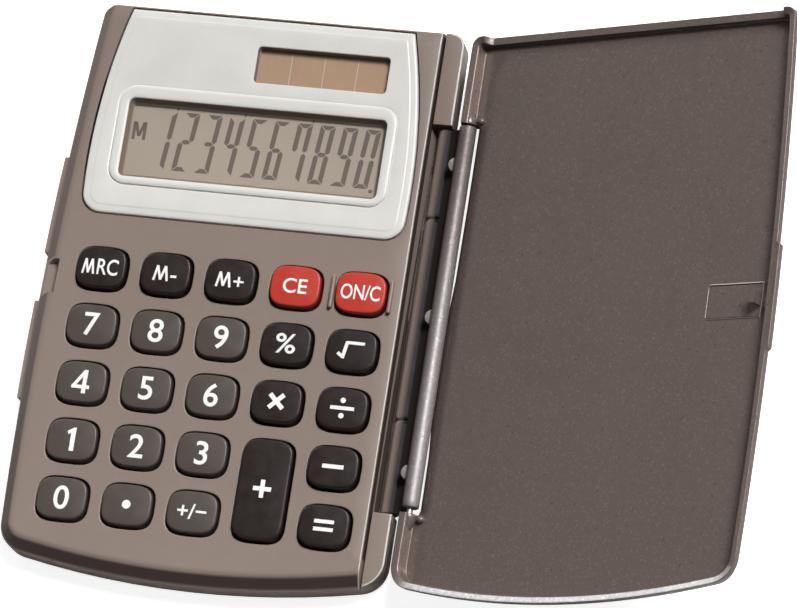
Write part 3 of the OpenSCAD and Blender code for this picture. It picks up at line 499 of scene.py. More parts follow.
def fleck_paint(name, colour, fleck, roughness, metallic=0.0, specular=0.45, shade=None, cells=6500):
    """Satin paint with fine metallic flecks: cells of about a fifth of a millimetre pick out bright grains,
    and slow noise clouds the colour and the roughness. shade is a function that paints light and shade into
    the colour from place to place."""
    n = Nodes(name, Metallic=metallic, Specular_IOR_Level=specular)
    clouds = n.ramp(n.noise(60, 4), (0.3, tint(colour, 0.95)), (0.7, tint(colour, 1.04)))
    grains = n.texture("ShaderNodeTexVoronoi", Scale=cells)
    bright = n.ramp(grains.outputs["Color"], (0.72, 0.0), (0.9, fleck))
    grain = n.ramp(n.noise(4200, 2), (0.3, tint(colour, 0.9)), (0.72, tint(colour, 1.1)))
    base = n.mix(bright, n.mix(0.45, clouds, grain), tint(colour, 1.9))
    n.to(shade(n, base) if shade else base, "Base Color")
    n.to(n.ramp(n.noise(900, 3), (0.3, roughness - 0.05), (0.7, roughness + 0.06)), "Roughness")
    n.bump(n.noise(3400, 2), 0.12, 0.00004)
    return n.material


def body_barrel_painted_shade(n, base):
    """Painted shade: darkens the hinge's body barrel towards the web, where the cover barrel shades it."""
    return n.mix(n.rise("X", HINGE_X - 1.0, HINGE_X + 0.35), base, srgb(24, 20, 18))


def cover_barrel_painted_light(n, base):
    """Painted shade and highlight: darkens the hinge's cover barrel towards the web and towards its upper
    end, and lightens its right side. The bosses on the web, which lie left of the barrel, stay bright."""
    side = n.ramp(n.rise("X", COVER_AXIS_X - 1.6, COVER_AXIS_X + 0.3),
                  (0.0, (0.46, 0.4, 0.38)), (1.0, (1.1, 1.1, 1.14)))
    across = n.dim(base, side)
    along = n.mix(n.rise("Y", -12, 34), across, n.dim(across, (0.52, 0.48, 0.46)))
    return n.mix(n.rise("X", COVER_AXIS_X - 1.95, COVER_AXIS_X - 1.8), base, along)


def cover_fold_painted_shade(n, base):
    """Painted shade: darkens the cover's floor along its fold beside the hinge, in the hinge's shade."""
    dark = n.dim(base, (0.3, 0.28, 0.28))
    fold = n.mix(n.rise("X", COVER_AXIS_X + 2.3, COVER_AXIS_X + 4.3), dark, base)
    fold = n.mix(n.rise("Y", NOTCH_Y0 - 0.5, NOTCH_Y0 + 1), base, fold)
    return n.mix(n.rise("Y", NOTCH_Y1 - 1, NOTCH_Y1 + 0.5), fold, base)


def rim_painted_highlight(n, base):
    """Painted highlight: the cover's rim goes from taupe beside the hinge to a light silver along its lower
    side, for its reflection of the light.
    """
    return n.mix(n.rise("X", COVER_AXIS_X - 0.85, COVER_AXIS_X + 4.15), srgb(112, 100, 93), base)


def bevel_painted_shade(n, base):
    """Painted shade: darkens the case's bevel between its foot and its crest, most of all at the lower end,
    which faces away from the light.
    """
    share = n.ramp(n.rise("Y", -50, 50), (0.0, (0.28, 0.24, 0.25)), (1.0, (0.66, 0.6, 0.61)))
    above_foot = n.mix(n.rise("Z", 5.85, 6.3), base, n.dim(base, share))
    return n.mix(n.rise("Z", 7.8, 8.2), above_foot, base)


def moulded_plastic(name, colour, roughness, grain=0.10, specular=0.5, side=None):
    """Moulded plastic: faint clouds in the colour, a fine eggshell grain and an uneven sheen. Between the two
    heights of side it darkens downwards: painted shade down a key's side into its well."""
    n = Nodes(name, Specular_IOR_Level=specular)
    clouds = n.ramp(n.noise(130, 4), (0.25, tint(colour, 0.93)), (0.75, tint(colour, 1.06)))
    dust = n.ramp(n.noise(4200, 2), (0.45, tint(colour, 0.97)), (0.8, tint(colour, 1.10)))
    base = n.mix(0.4, clouds, dust)
    if side:
        # Painted shade: the colour darkens downwards between the two heights.
        base = n.mix(n.rise("Z", *side), tint(colour, 0.25), base)
    n.to(base, "Base Color")
    n.to(n.ramp(n.noise(420, 4), (0.3, roughness - 0.06), (0.75, roughness + 0.07)), "Roughness")
    n.bump(n.noise(2800, 3), grain, 0.00005)
    return n.material


def sheet_metal(name, colour, roughness):
    """Drawn metal: fine streaks along y in colour and roughness."""
    n = Nodes(name, Metallic=1.0)
    streaks = n.streaks(6000, 300, 6000)
    n.to(n.ramp(streaks, (0.3, tint(colour, 0.85)), (0.7, tint(colour, 1.08))), "Base Color")
    n.to(n.ramp(streaks, (0.3, roughness + 0.08), (0.7, roughness - 0.06)), "Roughness")
    n.bump(streaks, 0.08, 0.00003)
    return n.material


def clear_plastic(name, colour):
    """Clear window: nearly all light goes through, with a faint tint and fine scratches in the gloss."""
    n = Nodes(name, Base_Color=(*colour, 1), Alpha=0.06)
    n.to(n.ramp(n.noise(700, 4), (0.3, 0.05), (0.7, 0.12)), "Roughness")
    return n.material


def lcd_ground(name, colour):
    """Display ground: pearly grey that is lightest in the middle, with the fine grain of its foil."""
    n = Nodes(name, Specular_IOR_Level=0.3)
    across, up = 30, 75
    centred = n.texture("ShaderNodeMapping", Location=(0, -up * LCD_Y * MM, 0), Scale=(across, up, 0))
    glow = n.texture("ShaderNodeTexGradient", centred.outputs["Vector"])
    glow.gradient_type = "SPHERICAL"
    ground = n.ramp(glow.outputs["Fac"], (0.0, tint(colour, 0.90)), (0.8, tint(colour, 1.04)))
    foil = n.ramp(n.noise(3000, 2), (0.3, tint(colour, 0.94)), (0.7, tint(colour, 1.06)))
    n.to(n.mix(0.35, ground, foil), "Base Color")
    n.to(n.ramp(n.noise(500, 2), (0.3, 0.36), (0.7, 0.46)), "Roughness")
    return n.material


def solar_film(name, colour):
    """Solar cell: a coppery film with faint streaks along the cells."""
    n = Nodes(name, Specular_IOR_Level=0.35)
    film = n.ramp(n.streaks(2600, 180, 1), (0.3, tint(colour, 0.93)), (0.7, tint(colour, 1.06)))
    clouds = n.ramp(n.noise(150, 3), (0.3, tint(colour, 0.94)), (0.7, tint(colour, 1.05)))
    n.to(n.mix(0.5, film, clouds), "Base Color")
    n.to(n.ramp(n.noise(600, 3), (0.3, 0.28), (0.7, 0.4)), "Roughness")
    return n.material


def look():
    """The user's colours and sizes."""
    return bpy.context.scene.calculator_look


def finishes():
    """Each finish's maker, its colour, and its other settings in the maker's order."""
    c = look()
    case, cover = tuple(c.case_colour), tuple(c.cover_colour)
    coarse = 3800
    # Heights between which a key's side gets painted shade.
    digit_side_shade = (PANEL_Z, PANEL_Z + 0.55)
    function_side_shade = (PANEL_Z + 0.2, PANEL_Z + 0.75)
    return {
        "case_paint": (fleck_paint, case, 0.08, 0.36),
        # Painted shade on the cover's floor beside the hinge.
        "cover_paint": (fleck_paint, cover, 0.45, 0.32, 0.4, 0.45, cover_fold_painted_shade, coarse),
        # Painted shade on the body barrel towards the web.
        "hinge_paint": (fleck_paint, tint(case, 1.15), 0.2, 0.5, 0.0, 0.16, body_barrel_painted_shade),
        # Painted shade on the bevel.
        "bevel_paint": (fleck_paint, case, 0.08, 0.4, 0.0, 0.2, bevel_painted_shade),
        # Painted shade and highlight on the cover barrel.
        "barrel_paint": (fleck_paint, srgb(152, 146, 144), 0.6, 0.52, 0.5, 0.45, cover_barrel_painted_light, coarse),
        # Painted highlight: a light silver for the rim's reflection.
        "rim_paint": (fleck_paint, srgb(163, 161, 162), 0.6, 0.41, 0.45, 0.45, rim_painted_highlight, coarse),
        # Painted highlight on the case's edges.
        "edge_paint": (fleck_paint, srgb(192, 186, 181), 0.2, 0.36),
        # Painted shade for the step and the hinge bay.
        "gap_paint": (fleck_paint, tint(case, 0.24), 0.05, 0.6, 0.0, 0.1),
        # Painted shade: the hinge web is nearly black.
        "web_paint": (fleck_paint, tint(cover, 0.14), 0.1, 0.6),
        "digit_plastic": (moulded_plastic, tuple(c.digit_colour), 0.36, 0.1, 0.5, digit_side_shade),
        "dark_plastic": (moulded_plastic, tuple(c.dark_colour), 0.36, 0.1, 0.4, function_side_shade),
        "red_plastic": (moulded_plastic, tuple(c.red_colour), 0.36, 0.1, 0.5, function_side_shade),
        "bezel_plastic": (moulded_plastic, tuple(c.bezel_colour), 0.36, 0.05),
        "clear_window": (clear_plastic, (0.75, 0.74, 0.72)),
        "lcd_ground": (lcd_ground, tuple(c.lcd_colour)),
        "lcd_ink": (moulded_plastic, srgb(84, 66, 52), 0.5, 0.03, 0.2),
        "solar_film": (solar_film, tuple(c.solar_colour)),
        # Painted shade in the display and solar recesses.
        "lining": (moulded_plastic, srgb(128, 113, 99), 0.5, 0.05, 0.3),
        "cell_line": (moulded_plastic, srgb(205, 190, 172), 0.4, 0.04),
        "legend_ink": (moulded_plastic, tuple(c.legend_colour), 0.45, 0.06, 0.3),
        "silicone": (moulded_plastic, srgb(140, 140, 136), 0.6, 0.2),
        "board_mask": (moulded_plastic, srgb(63, 107, 69), 0.4, 0.15),
        "resin": (moulded_plastic, srgb(30, 28, 28), 0.25, 0.1),
        "steel": (sheet_metal, srgb(150, 149, 146), 0.36),
        "contact_metal": (sheet_metal, srgb(196, 186, 160), 0.32),
    }


def finish_named(name):
    """The material of that name, made on first use."""
    if name in bpy.data.materials:
        return bpy.data.materials[name]
    maker, *settings = finishes()[name]
    return maker(name, *settings)


NODE_FINISH = {
    "rear_case": "case_paint", "battery_door": "case_paint", "display_window": "clear_window",
    "solar_window": "clear_window", "lcd_glass": "lcd_ground", "lcd_contacts": "silicone",
    "solar_cell": "solar_film", "solar_leads": "steel", "circuit_board": "board_mask", "chip_resin": "resin",
    "board_components": "resin", "key_mat": "silicone", "battery_cell": "steel",
    "battery_contact_plus": "contact_metal", "battery_contact_minus": "contact_metal", "case_screws": "steel",
    "body_hinge_pins": "steel", "cover_hinge_pins": "steel", "latch_clip": "cover_paint",
}


class CALCULATOR_OT_nodes(bpy.types.Operator):
    """Gives every CAD node that stays its finish"""

    bl_idname = "calculator.nodes"
    bl_label = "Finish CAD nodes"

    def execute(self, context):
        for node, finish in NODE_FINISH.items():
            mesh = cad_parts[node].data
            mesh.materials.clear()
            mesh.materials.append(finish_named(finish))
        return {"FINISHED"}


def case_profile():
    """Section of the front case from the parting groove up over the bevel's soft crest: inset and height. The
    crest is a quadratic curve from the slope to the flat panel."""
    low = np.array([[0.45, 4.98], [0.45, 5.16], [0.1, 5.22], [0.0, 5.34], [0.0, 5.6], [0.06, 5.8],
                    [0.2, 6.0]])
    slope = line((0.35, 6.15), (2.0, 7.9), 4)
    t = np.linspace(0, 1, 13)[1:, None]
    p, q, r = slope[-1], np.array([2.4, PANEL_Z]), np.array([3.3, PANEL_Z])
    crest = (1 - t) ** 2 * p + 2 * t * (1 - t) * q + t * t * r
    return np.concatenate([low, slope, crest, [[PANEL_IN, PANEL_Z]]])


def fall(parts):
    """Lets the top end of patches slope down towards its edge, fully at the panel's height and not at all at
    the bezel's seat."""
    start = HALF_L - TOP_FALL_L
    fallen = []
    for points, faces in parts:
        t = np.clip((points[:, 1] - start) / (HALF_L - start), 0, 1) ** 1.3
        weight = np.clip((points[:, 2] - SEAT_Z) / (PANEL_Z - SEAT_Z), 0, 1)
        fallen.append((points - np.stack([0 * t, 0 * t, TOP_FALL * t * weight], 1), faces))
    return fallen


def case_skin():
    """Grid of the case's bevel and side: the section carried along the outline, nearly upright at the top
    end. The catch notch is pressed into the slope."""
    rows = []
    for inset, z in case_profile():
        top_inset = np.interp(inset, (0, BEVEL_W, PANEL_IN), (0, TOP_BEVEL, PANEL_TOP_IN))
        plan = left_path(inset, top_inset, STEP_X - STEP_EDGE)
        notch = (np.abs(plan[:, 1] - CATCH_Y) < CATCH_HALF) & (plan[:, 0] < LEFT_X) & (inset < CATCH_IN)
        rows.append(lift(plan, np.where(notch, np.minimum(z, CATCH_Z), z)))
    return np.array(rows)


def key_opening(key):
    """Wall of a key's opening: the flat rim, a small round, then straight down."""
    centre, longer = key_place(key)
    section = ((0.3, PANEL_Z), (0.12, PANEL_Z), (0.05, PANEL_Z - 0.03), (0.0, PANEL_Z - 0.14), (0.0, 6.4))
    return np.array([lift(key_ring(centre, longer, g), z) for g, z in section])


def strip_rings(low):
    """Rings of the hinge strip above or below the notch: its plan drawn in along the rounded upper edge. A
    narrow groove parts it from the step."""
    def plan(i):
        ru, rl, ur, ul, lr, ll, side, base = corners(i)
        inner = STEP_X + STEP_GROOVE + i
        if low:
            cut = -math.degrees(math.acos((inner - lr[0]) / rl))
            return np.concatenate([
                arc(lr, rl, cut, 0, 16), line((HALF_W - i, lr[1]), (HALF_W - i, NOTCH_Y0 - i), 6)[1:],
                [[inner, NOTCH_Y0 - i]]])
        return np.concatenate([
            [[inner, NOTCH_Y1 + i]], line((HALF_W - i, NOTCH_Y1 + i), (HALF_W - i, ur[1]), 6),
            arc(ur, ru, 0, 90, 12)[1:], [[inner, HALF_L - i]]])
    groove = ((0.45, -0.02), (0.45, 0.16), (0.06, 0.22), (0.0, 0.34))
    edge = ((0.0, -0.3), (0.03, -0.17), (0.1, -0.09), (0.36, -0.02), (0.5, 0.0))
    section = [(i, SPLIT_Z + z) for i, z in groove] + [(i, STRIP_Z + z) for i, z in edge]
    return np.array([lift(plan(i), z) for i, z in section])


def rounded_bar(c, w, l, z0, z1, r):
    """A bar with round ends and a rounded top: rounded rectangles drawn in up a quarter circle."""
    end = w / 2 - 0.01
    rings = [lift(round_box(c, w, l, end), z0)]
    for t in np.radians(np.linspace(0, 90, 6)):
        drawn_in = r * (1 - math.cos(t))
        plan = round_box(c, w - 2 * drawn_in, l - 2 * drawn_in, max(0.02, end - drawn_in))
        rings.append(lift(plan, z1 - r + r * math.sin(t)))
    rings = np.array(rings)
    return sheet(rings, closed=True), fan(rings[-1])


class CALCULATOR_OT_front_case(bpy.types.Operator):
    """Builds the front case: soft bevel, panel with key openings, step and hinge strip"""

    bl_idname = "calculator.front_case"
    bl_label = "Front case"

    def execute(self, context):
        skin = case_skin()
        face = self.step_face(skin)
        lower, upper = strip_rings(True), strip_rings(False)
        parts = [sheet(skin), *self.panel(skin[-1]), sheet(face)]
        for strip in (lower, upper):
            parts += [sheet(strip, closed=True), fan(strip[-1])]
        (x, y), _ = key_place(ON_KEY)
        for side in (-1, 1):
            at = (x + side * (OPEN_W / 2 + 0.45), y)
            parts += rounded_bar(at, 0.8, 6.6, PANEL_Z - 0.1, PANEL_Z + 0.95, 0.36)
        for name, patches, finish, replaced in (
                ("front_case_skin", parts, "case_paint", ("front_case",)),
                ("case_edge_highlights", self.edge_highlights(face, lower, upper), "edge_paint", ()),
                ("case_step_shade", self.step_shade(face, len(skin) - 1), "gap_paint", ()),
                ("case_bevel_shading", self.bevel_shading_band(skin), "bevel_paint", ())):
            make_piece(name, fall(patches), finish, "case", replaced)
        return {"FINISHED"}

    @staticmethod
    def panel(inner):
        """The flat panel inside the bevel's inner edge, with the key openings and the bay that the bezel lies
        in. The bay's wall follows the bezel's outline a gap away. A low rim closes it at the top end."""
        wall = bezel_path(-BEZEL_GAP)
        top = wall[:, 1].max()
        half_top = np.abs(wall[np.abs(wall[:, 1] - top) < 1e-6, 0]).max()
        side = wall[wall[:, 1] < BEZEL_Y1 + BEZEL_GAP - 1e-6]
        bay = side[np.argsort(angle_round(side))]
        bay = bay[::-1] if bay[0, 0] > 0 else bay
        bay = np.concatenate([[[-half_top, top]], bay, [[half_top, top]]])
        on_top = (inner[:, 1] > HALF_L - 1.2) & (np.abs(inner[:, 0]) < half_top)
        first, last = np.flatnonzero(on_top)[[0, -1]]
        cut_edge = line(inner[-1, :2], inner[0, :2], 60)[1:-1]
        outer = np.concatenate([inner[:first, :2], bay, inner[last + 1:, :2], cut_edge])
        holes = [key_opening(key) for key in KEYS]
        rim = inner[first - 1:last + 2]
        low_rim = rim.copy()
        low_rim[:, 0] = np.clip(rim[:, 0], -half_top, half_top)
        low_rim[:, 1] = top
        down = np.array([0, 0, 1.1])
        return [plate([outer] + [hole[0, :, :2] for hole in holes], PANEL_Z),
                *(sheet(hole, closed=True) for hole in holes),
                sheet(np.array([rim, low_rim, low_rim - down])),
                sheet(np.array([lift(bay, PANEL_Z), lift(bay, PANEL_Z) - down]))]

    @staticmethod
    def step_face(skin):
        """The step beside the hinge strip: a narrow slope and a round from the panel's cut edge, then
        straight down. Its upper edge follows the case's section at both ends."""
        start, end = skin[:, 0], skin[::-1, -1]
        path = np.concatenate([start, line(start[-1], end[0], 60)[1:-1], end])
        section = ((0, 0), (0.26, 0.07), (0.33, 0.12), (0.38, 0.2), (STEP_EDGE, 0.34))
        out, down = np.array(section).T[:, :, None]
        round_x = np.broadcast_to(STEP_X - STEP_EDGE + out, (len(out), len(path)))
        rows = np.stack([round_x, np.broadcast_to(path[:, 1], round_x.shape), path[:, 2] - down], -1)
        foot = np.stack([np.full(len(path), STEP_X), path[:, 1], np.minimum(SPLIT_Z, rows[-1, :, 2])], 1)
        return np.concatenate([rows, foot[None]])

    @staticmethod
    def edge_highlights(face, lower, upper):
        """Painted highlights: thin light lines on the step's crest, on the strips' outer edges and on the
        foot of the hinge bay's upper half."""
        crest = np.stack([face[0] * 0.6 + face[1] * 0.4, face[1]])[:, 4:-4]
        y = np.linspace(0, NOTCH_Y1 - 0.4, 40)
        foot = bay_slope(y, 0 * y + BAY_W - 0.12, 0 * y + BAY_W)
        parts = [*thin_band(foot, 0.012, 0, 0.002)]
        edge = slice(6, 8)
        for rows in (crest, lower[edge, :-1], upper[edge, 1:-1]):
            parts += thin_band(rows, 0.002, 0, 0.012)
        return parts

    @staticmethod
    def step_shade(face, ends):
        """Painted shade: a dark band down the step between its two ends, and one on the hinge bay's slope
        that widens towards the lower end."""
        y = np.linspace(NOTCH_Y0 + 0.3, NOTCH_Y1 - 0.3, 60)
        slope = bay_slope(y, 0.16 + 0.44 * step(-30, 40, y), 0 * y + BAY_W - 0.02)
        return [*thin_band(face[4:, ends:-ends], 0.012, 0, 0), *thin_band(slope, 0.012, 0, 0.002)]

    @staticmethod
    def bevel_shading_band(skin):
        """Painted shade: a dark band on the bevel's slope and crest, from the hinge strip round to the upper
        left corner. It is cut at the catch notch."""
        slope, end = slice(5, 20), 286
        at_notch = (np.abs(skin[5, :, 1] - CATCH_Y) < CATCH_HALF + 0.3) & (skin[5, :, 0] < LEFT_X)
        notch = np.flatnonzero(at_notch)
        stretches = (slice(0, notch[0]), slice(notch[-1], end))
        return [patch for stretch in stretches for patch in thin_band(skin[slope, stretch], 0, 0, 0.012)]


def bay_slope(y, *across):
    """Rows along the slope of the hinge bay's liner, at distances from the step: the height falls evenly."""
    return np.array([np.stack([STEP_X + x, y, BAY_Z - BAY_DROP * x / BAY_W], 1) for x in across])


def angle_round(points):
    """Angle of points about the bezel's middle, measured from straight up, for ordering them round it."""
    x, y = points[:, 0] - BEZEL_X, points[:, 1] - (BEZEL_Y0 + BEZEL_Y1) / 2
    return np.arctan2(-x, y) % (2 * np.pi)


def framed(centre, size, r, section):
    """Rings of a rounded opening or frame: its rectangle grown by the first number of each row of the
    section, at the height of the second."""
    w, l = size
    return np.array([lift(round_box(centre, w + 2 * g, l + 2 * g, r + g), z) for g, z in section])


class CALCULATOR_OT_bezel(bpy.types.Operator):
    """Builds the display bezel with its raised frame and solar opening"""

    bl_idname = "calculator.bezel"
    bl_label = "Display bezel"

    def execute(self, context):
        section = ((0.12, SEAT_Z), (0.12, 8.2), (0.16, 8.36), (0.26, 8.47), (0.42, 8.55), (0.7, 8.6),
                   (1.5, 8.61), (1.6, 8.62), (1.74, 8.68), (1.9, 8.69), (2.4, BEZEL_Z), (2.7, BEZEL_Z))
        skin = np.array([lift(bezel_path(i), z) for i, z in section])
        display, solar_place = (BEZEL_X, LCD_Y), (SOLAR_X, SOLAR_Y)
        ring = framed((BEZEL_X, FRAME_Y), (FRAME_W, FRAME_L), FRAME_ROUND, (
            (0.4, BEZEL_Z), (0.24, BEZEL_Z - 0.03), (0.1, BEZEL_Z - 0.11), (0.0, BEZEL_Z - 0.04),
            (-0.1, 8.9), (-0.28, 9.0), (-0.6, FRAME_Z), (-0.9, FRAME_Z)))
        lcd = framed(display, (LCD_W, LCD_L), LCD_ROUND, (
            (0.75, FRAME_Z), (0.3, 9.01), (0.1, 8.93), (0.0, 8.78), (0.0, SEAT_Z)))
        solar = framed(solar_place, (SOLAR_W, SOLAR_L), SOLAR_ROUND, (
            (0.3, BEZEL_Z), (0.12, BEZEL_Z - 0.02), (0.0, BEZEL_Z - 0.14), (0.0, SEAT_Z)))
        parts = [sheet(rings, closed=True) for rings in (skin, ring, lcd, solar)]
        parts += [plate([skin[-1, :, :2], ring[0, :, :2], solar[0, :, :2]], BEZEL_Z),
                  plate([ring[-1, :, :2], lcd[0, :, :2]], FRAME_Z)]
        make_piece("display_bezel_skin", fall(parts), "bezel_plastic", "case", ("display_bezel",))
        # Painted shade: a brown sloped band inside each opening stands in for the shade in the recess over
        # the glass.
        for name, centre, size, r, top, foot in (
                ("display_recess_shade", display, (LCD_W, LCD_L), LCD_ROUND, 8.7, 0.55),
                ("solar_recess_shade", solar_place, (SOLAR_W, SOLAR_L), SOLAR_ROUND, 8.5, 0.2)):
            wall = framed(centre, size, r, (
                (-0.01, top), (-0.04, top - 0.05), (-foot, SEAT_Z + 0.06), (-foot - 0.2, SEAT_Z + 0.01)))
            make_piece(name, [sheet(wall, closed=True)], "lining", "case")
        return {"FINISHED"}


SEGMENTS = {"1": "bc", "2": "abged", "3": "abgcd", "4": "fgbc", "5": "afgcd", "6": "afgedc", "7": "fabc",
            "8": "abcdefg", "9": "abcdfg", "0": "abcdef"}
DIGIT_X0, DIGIT_PITCH = -20.1, 4.47


def segment_plans(x0):
    """Seven slanted display segments of one digit whose foot starts at x0: bars mitred at the corners and
    pointed where they meet at half height."""
    w, h, t, u, g, lean, y0 = 2.95, 11.9, 0.95, 0.88, 0.1, 0.09, LCD_Y - 5.45
    m = h / 2
    bar = [(g, h), (w - g, h), (w - t - g, h - u), (t + g, h - u)]
    post = [(0, h - g), (t, h - u - g), (t, m + u / 2 + g), (t / 2, m + g), (0, m + u / 2 + g)]
    middle = [(t / 2 + g, m), (t + g, m + u / 2), (w - t - g, m + u / 2), (w - t / 2 - g, m),
              (w - t - g, m - u / 2), (t + g, m - u / 2)]
    turned = {"a": (bar, 1, 1), "d": (bar, 1, -1), "g": (middle, 1, 1), "f": (post, 1, 1), "e": (post, 1, -1),
              "b": (post, -1, 1), "c": (post, -1, -1)}
    plans = {}
    for name, (loop, sx, sy) in turned.items():
        q = (np.array(loop) - [w / 2, m]) * [sx, sy] + [w / 2, m]
        plans[name] = np.stack([x0 + q[:, 0] + lean * q[:, 1], y0 + q[:, 1]], 1)
    return plans


class CALCULATOR_OT_display(bpy.types.Operator):
    """Builds the display's slanted digits and the lines between the solar fields"""

    bl_idname = "calculator.display"
    bl_label = "Display digits"

    def execute(self, context):
        plans = self.memory_sign() + [arc((23.75, LCD_Y - 5.85), 0.4, 0, 330, 11)]
        for place, digit in enumerate("1234567890"):
            x = DIGIT_X0 + DIGIT_PITCH * place
            segments = segment_plans(x)
            plans += [segments[name] for name in SEGMENTS[digit]]
            if place in (0, 3, 6):
                tick = np.array([[0, 0], [0.35, 0.2], [0.4, 0.8], [0.05, 0.8]])
                plans.append(tick + [x + 3.75, LCD_Y + 6.55])
        half = SOLAR_L / 2 + 0.6
        fields = [SOLAR_X - SOLAR_W / 2 + SOLAR_W * k / 4 for k in (1, 2, 3)]
        lines = [stroke(((x, SOLAR_Y - half), (x, SOLAR_Y + half)), 0.14) for x in fields]
        for name, loops, finish, slot in (("display_digits", plans, "lcd_ink", "lcd"),
                                          ("solar_lines", lines, "cell_line", "solar")):
            parts = [fan(lift(loop, GLASS_TOP + 0.01)) for loop in loops]
            make_piece(name, parts, finish, "case", merge=1e-6)
        return {"FINISHED"}

    @staticmethod
    def memory_sign():
        """The small M of the memory sign: two posts, and two slanted bars that meet above its foot."""
        width = 0.62
        left, right, foot, head = -24.45, -21.75, LCD_Y + 0.15, LCD_Y + 3.75
        mid, low = (left + right) / 2, foot + 0.7
        return [np.array(loop) for loop in (
            [(left, foot), (left + width, foot), (left + width, head), (left, head)],
            [(right - width, foot), (right, foot), (right, head), (right - width, head)],
            [(left + 0.1, head), (left + 0.8, head), (mid + 0.3, low), (mid - 0.3, low)],
            [(mid - 0.3, low), (mid + 0.3, low), (right - 0.1, head), (right - 0.8, head)])]


def key_surface(key):
    """Rings of a key from under its lip up the side, over a crisp edge and in to the crowned middle. The
    lower side leans back further than the others: below the middle, y is drawn in by a share that grows with
    the height."""
    c = look()
    centre, longer = key_place(key)
    crown, proud = (c.digit_crown, DIGIT_PROUD) if key.kind == "digit" else (c.key_crown, FUNCTION_PROUD)
    top, r = PANEL_Z + proud - crown, c.key_round
    half = OPEN_L / 2 + longer / 2
    wall_in, wall_lean = KEY_GAP + 0.14, 0.82

    def ring(grow, z, lean):
        plan = key_ring(centre, longer, grow)
        below = np.minimum(plan[:, 1] - centre[1], 0)
        return lift(plan - np.stack([0 * below, below * lean * c.key_lean / half], 1), z)

    rings = [ring(LIP_OUT, LIP_Z, 0), ring(LIP_OUT, LIP_Z + LIP_T, 0), ring(-KEY_GAP, LIP_Z + LIP_T, 0),
             ring(-KEY_GAP, PANEL_Z - 0.2, 0), ring(-wall_in, top - r, wall_lean)]
    for a in np.radians(np.linspace(10, 84, KEY_RIM - len(rings) + 1)):
        lean = wall_lean + (1 - wall_lean) * math.sin(a)
        rings.append(ring(-wall_in - r * (1 - math.cos(a)), top - r + r * math.sin(a), lean))
    rim = rings[KEY_RIM]
    middle = rim[:, :2].min(0) / 2 + rim[:, :2].max(0) / 2
    for s in (0.93, 0.8, 0.62, 0.42, 0.22, 0.08):
        z = rim[0, 2] + (crown + top - rim[0, 2]) * (1 - s * s)
        rings.append(lift(middle + (rim[:, :2] - middle) * s, z))
    return np.array(rings)


class CALCULATOR_OT_keys(bpy.types.Operator):
    """Builds the cushion-shaped keys"""

    bl_idname = "calculator.keys"
    bl_label = "Keys"

    def execute(self, context):
        for key in KEYS:
            parts = closed_rings(key_surface(key))
            plastic = key.kind + "_plastic"
            make_piece(key.name + "_cap", parts, plastic, key.name, (key.name,), sharp=50)
        return {"FINISHED"}


def stroke(points, width):
    """A straight bar of that width between two points, as a loop."""
    a, b = np.array(points, float)
    along = (b - a) / np.hypot(*(b - a))
    across = np.array([-along[1], along[0]]) * width / 2
    return np.array([a - across, b - across, b + across, a + across])


def splayed_m(x0, w, h, width):
    """The letter M as four strokes: splayed legs, and a middle point on the base line."""
    zigzag = np.array([(0.07, 0), (0.25, 1), (0.5, 0.06), (0.75, 1), (0.93, 0)])
    q = zigzag * [w, h - width / 2] + [x0, -h / 2]
    return [stroke(q[k:k + 2], width) for k in range(4)]


def dot(y, r):
    """A round dot above or below a key's middle, as a loop."""
    return arc((0, y), r, 0, 345, 23)


SIGNS = {
    "MRC": splayed_m(-3.65, 2.5, 3.2, 0.42),
    "M-": splayed_m(-2.35, 3.1, 3.2, 0.46) + [stroke(((1.1, -0.6), (2.3, -0.6)), 0.5)],
    "M+": splayed_m(-2.75, 3.1, 3.2, 0.46) + [stroke(((0.75, -0.35), (2.75, -0.35)), 0.42),
                                              stroke(((1.75, -1.35), (1.75, 0.65)), 0.42)],
    "1": [np.array([(-0.2, -2.3), (0.7, -2.3), (0.7, 2.3), (0.2, 2.3), (-0.95, 1.5), (-0.7, 0.85),
                    (-0.2, 1.2)])],
    "4": [stroke(((0.65, -2.3), (0.65, 2.3)), 0.8), stroke(((-1.8, -1.05), (1.7, -1.05)), 0.68),
          stroke(((-1.5, -1.1), (0.55, 2.0)), 0.66)],
    "times": [stroke(((-1.35, -1.35), (1.35, 1.35)), 0.9), stroke(((-1.35, 1.35), (1.35, -1.35)), 0.9)],
    "divide": [stroke(((-2.3, 0), (2.3, 0)), 0.72), dot(1.5, 0.52), dot(-1.5, 0.52)],
    "plus": [stroke(((-1.75, 0), (1.75, 0)), 0.85), stroke(((0, -1.75), (0, 1.75)), 0.85)],
    "minus": [stroke(((-2.05, 0), (2.05, 0)), 0.8)],
    "equals": [stroke(((-1.9, 0.75), (1.9, 0.75)), 0.72), stroke(((-1.9, -0.75), (1.9, -0.75)), 0.72)],
    "point": [dot(0, 0.85)],
    "root": [stroke(((-2.55, -0.72), (-1.35, -1.55)), 0.64), stroke(((-1.5, -1.75), (-0.92, 1.55)), 0.68),
             stroke(((-1.05, 1.37), (2.45, 1.37)), 0.6)],
}
LETTERS = {"MRC": ("RC", 1.35)}
LEGEND_HEIGHT = {"RC": 3.2, "CE": 2.95, "ON/C": 3.0, "%": 3.9, "+/-": 3.0}
LEGEND_WIDTH = {"ON/C": 0.73, "RC": 0.76, "%": 1.12}
DIGIT_HEIGHT, PRINT_GRID, PRINT_UP, PRINT_OVER = 4.6, 0.8, 0.02, 0.004


def crown_height(key, plan):
    """Height of a key's crowned top over plan points: falls with the square of the superellipse radius."""
    rings = key_surface(key)
    rim, peak = rings[KEY_RIM], rings[-1, 0, 2]
    low, high = rim[:, :2].min(0), rim[:, :2].max(0)
    s = (np.abs((plan - (low + high) / 2) / (high - low) * 2) ** KEY_POWER).sum(1) ** (1 / KEY_POWER)
    return rim[0, 2] + (peak - rim[0, 2]) * (1 - np.clip(s, 0, 1) ** 2)


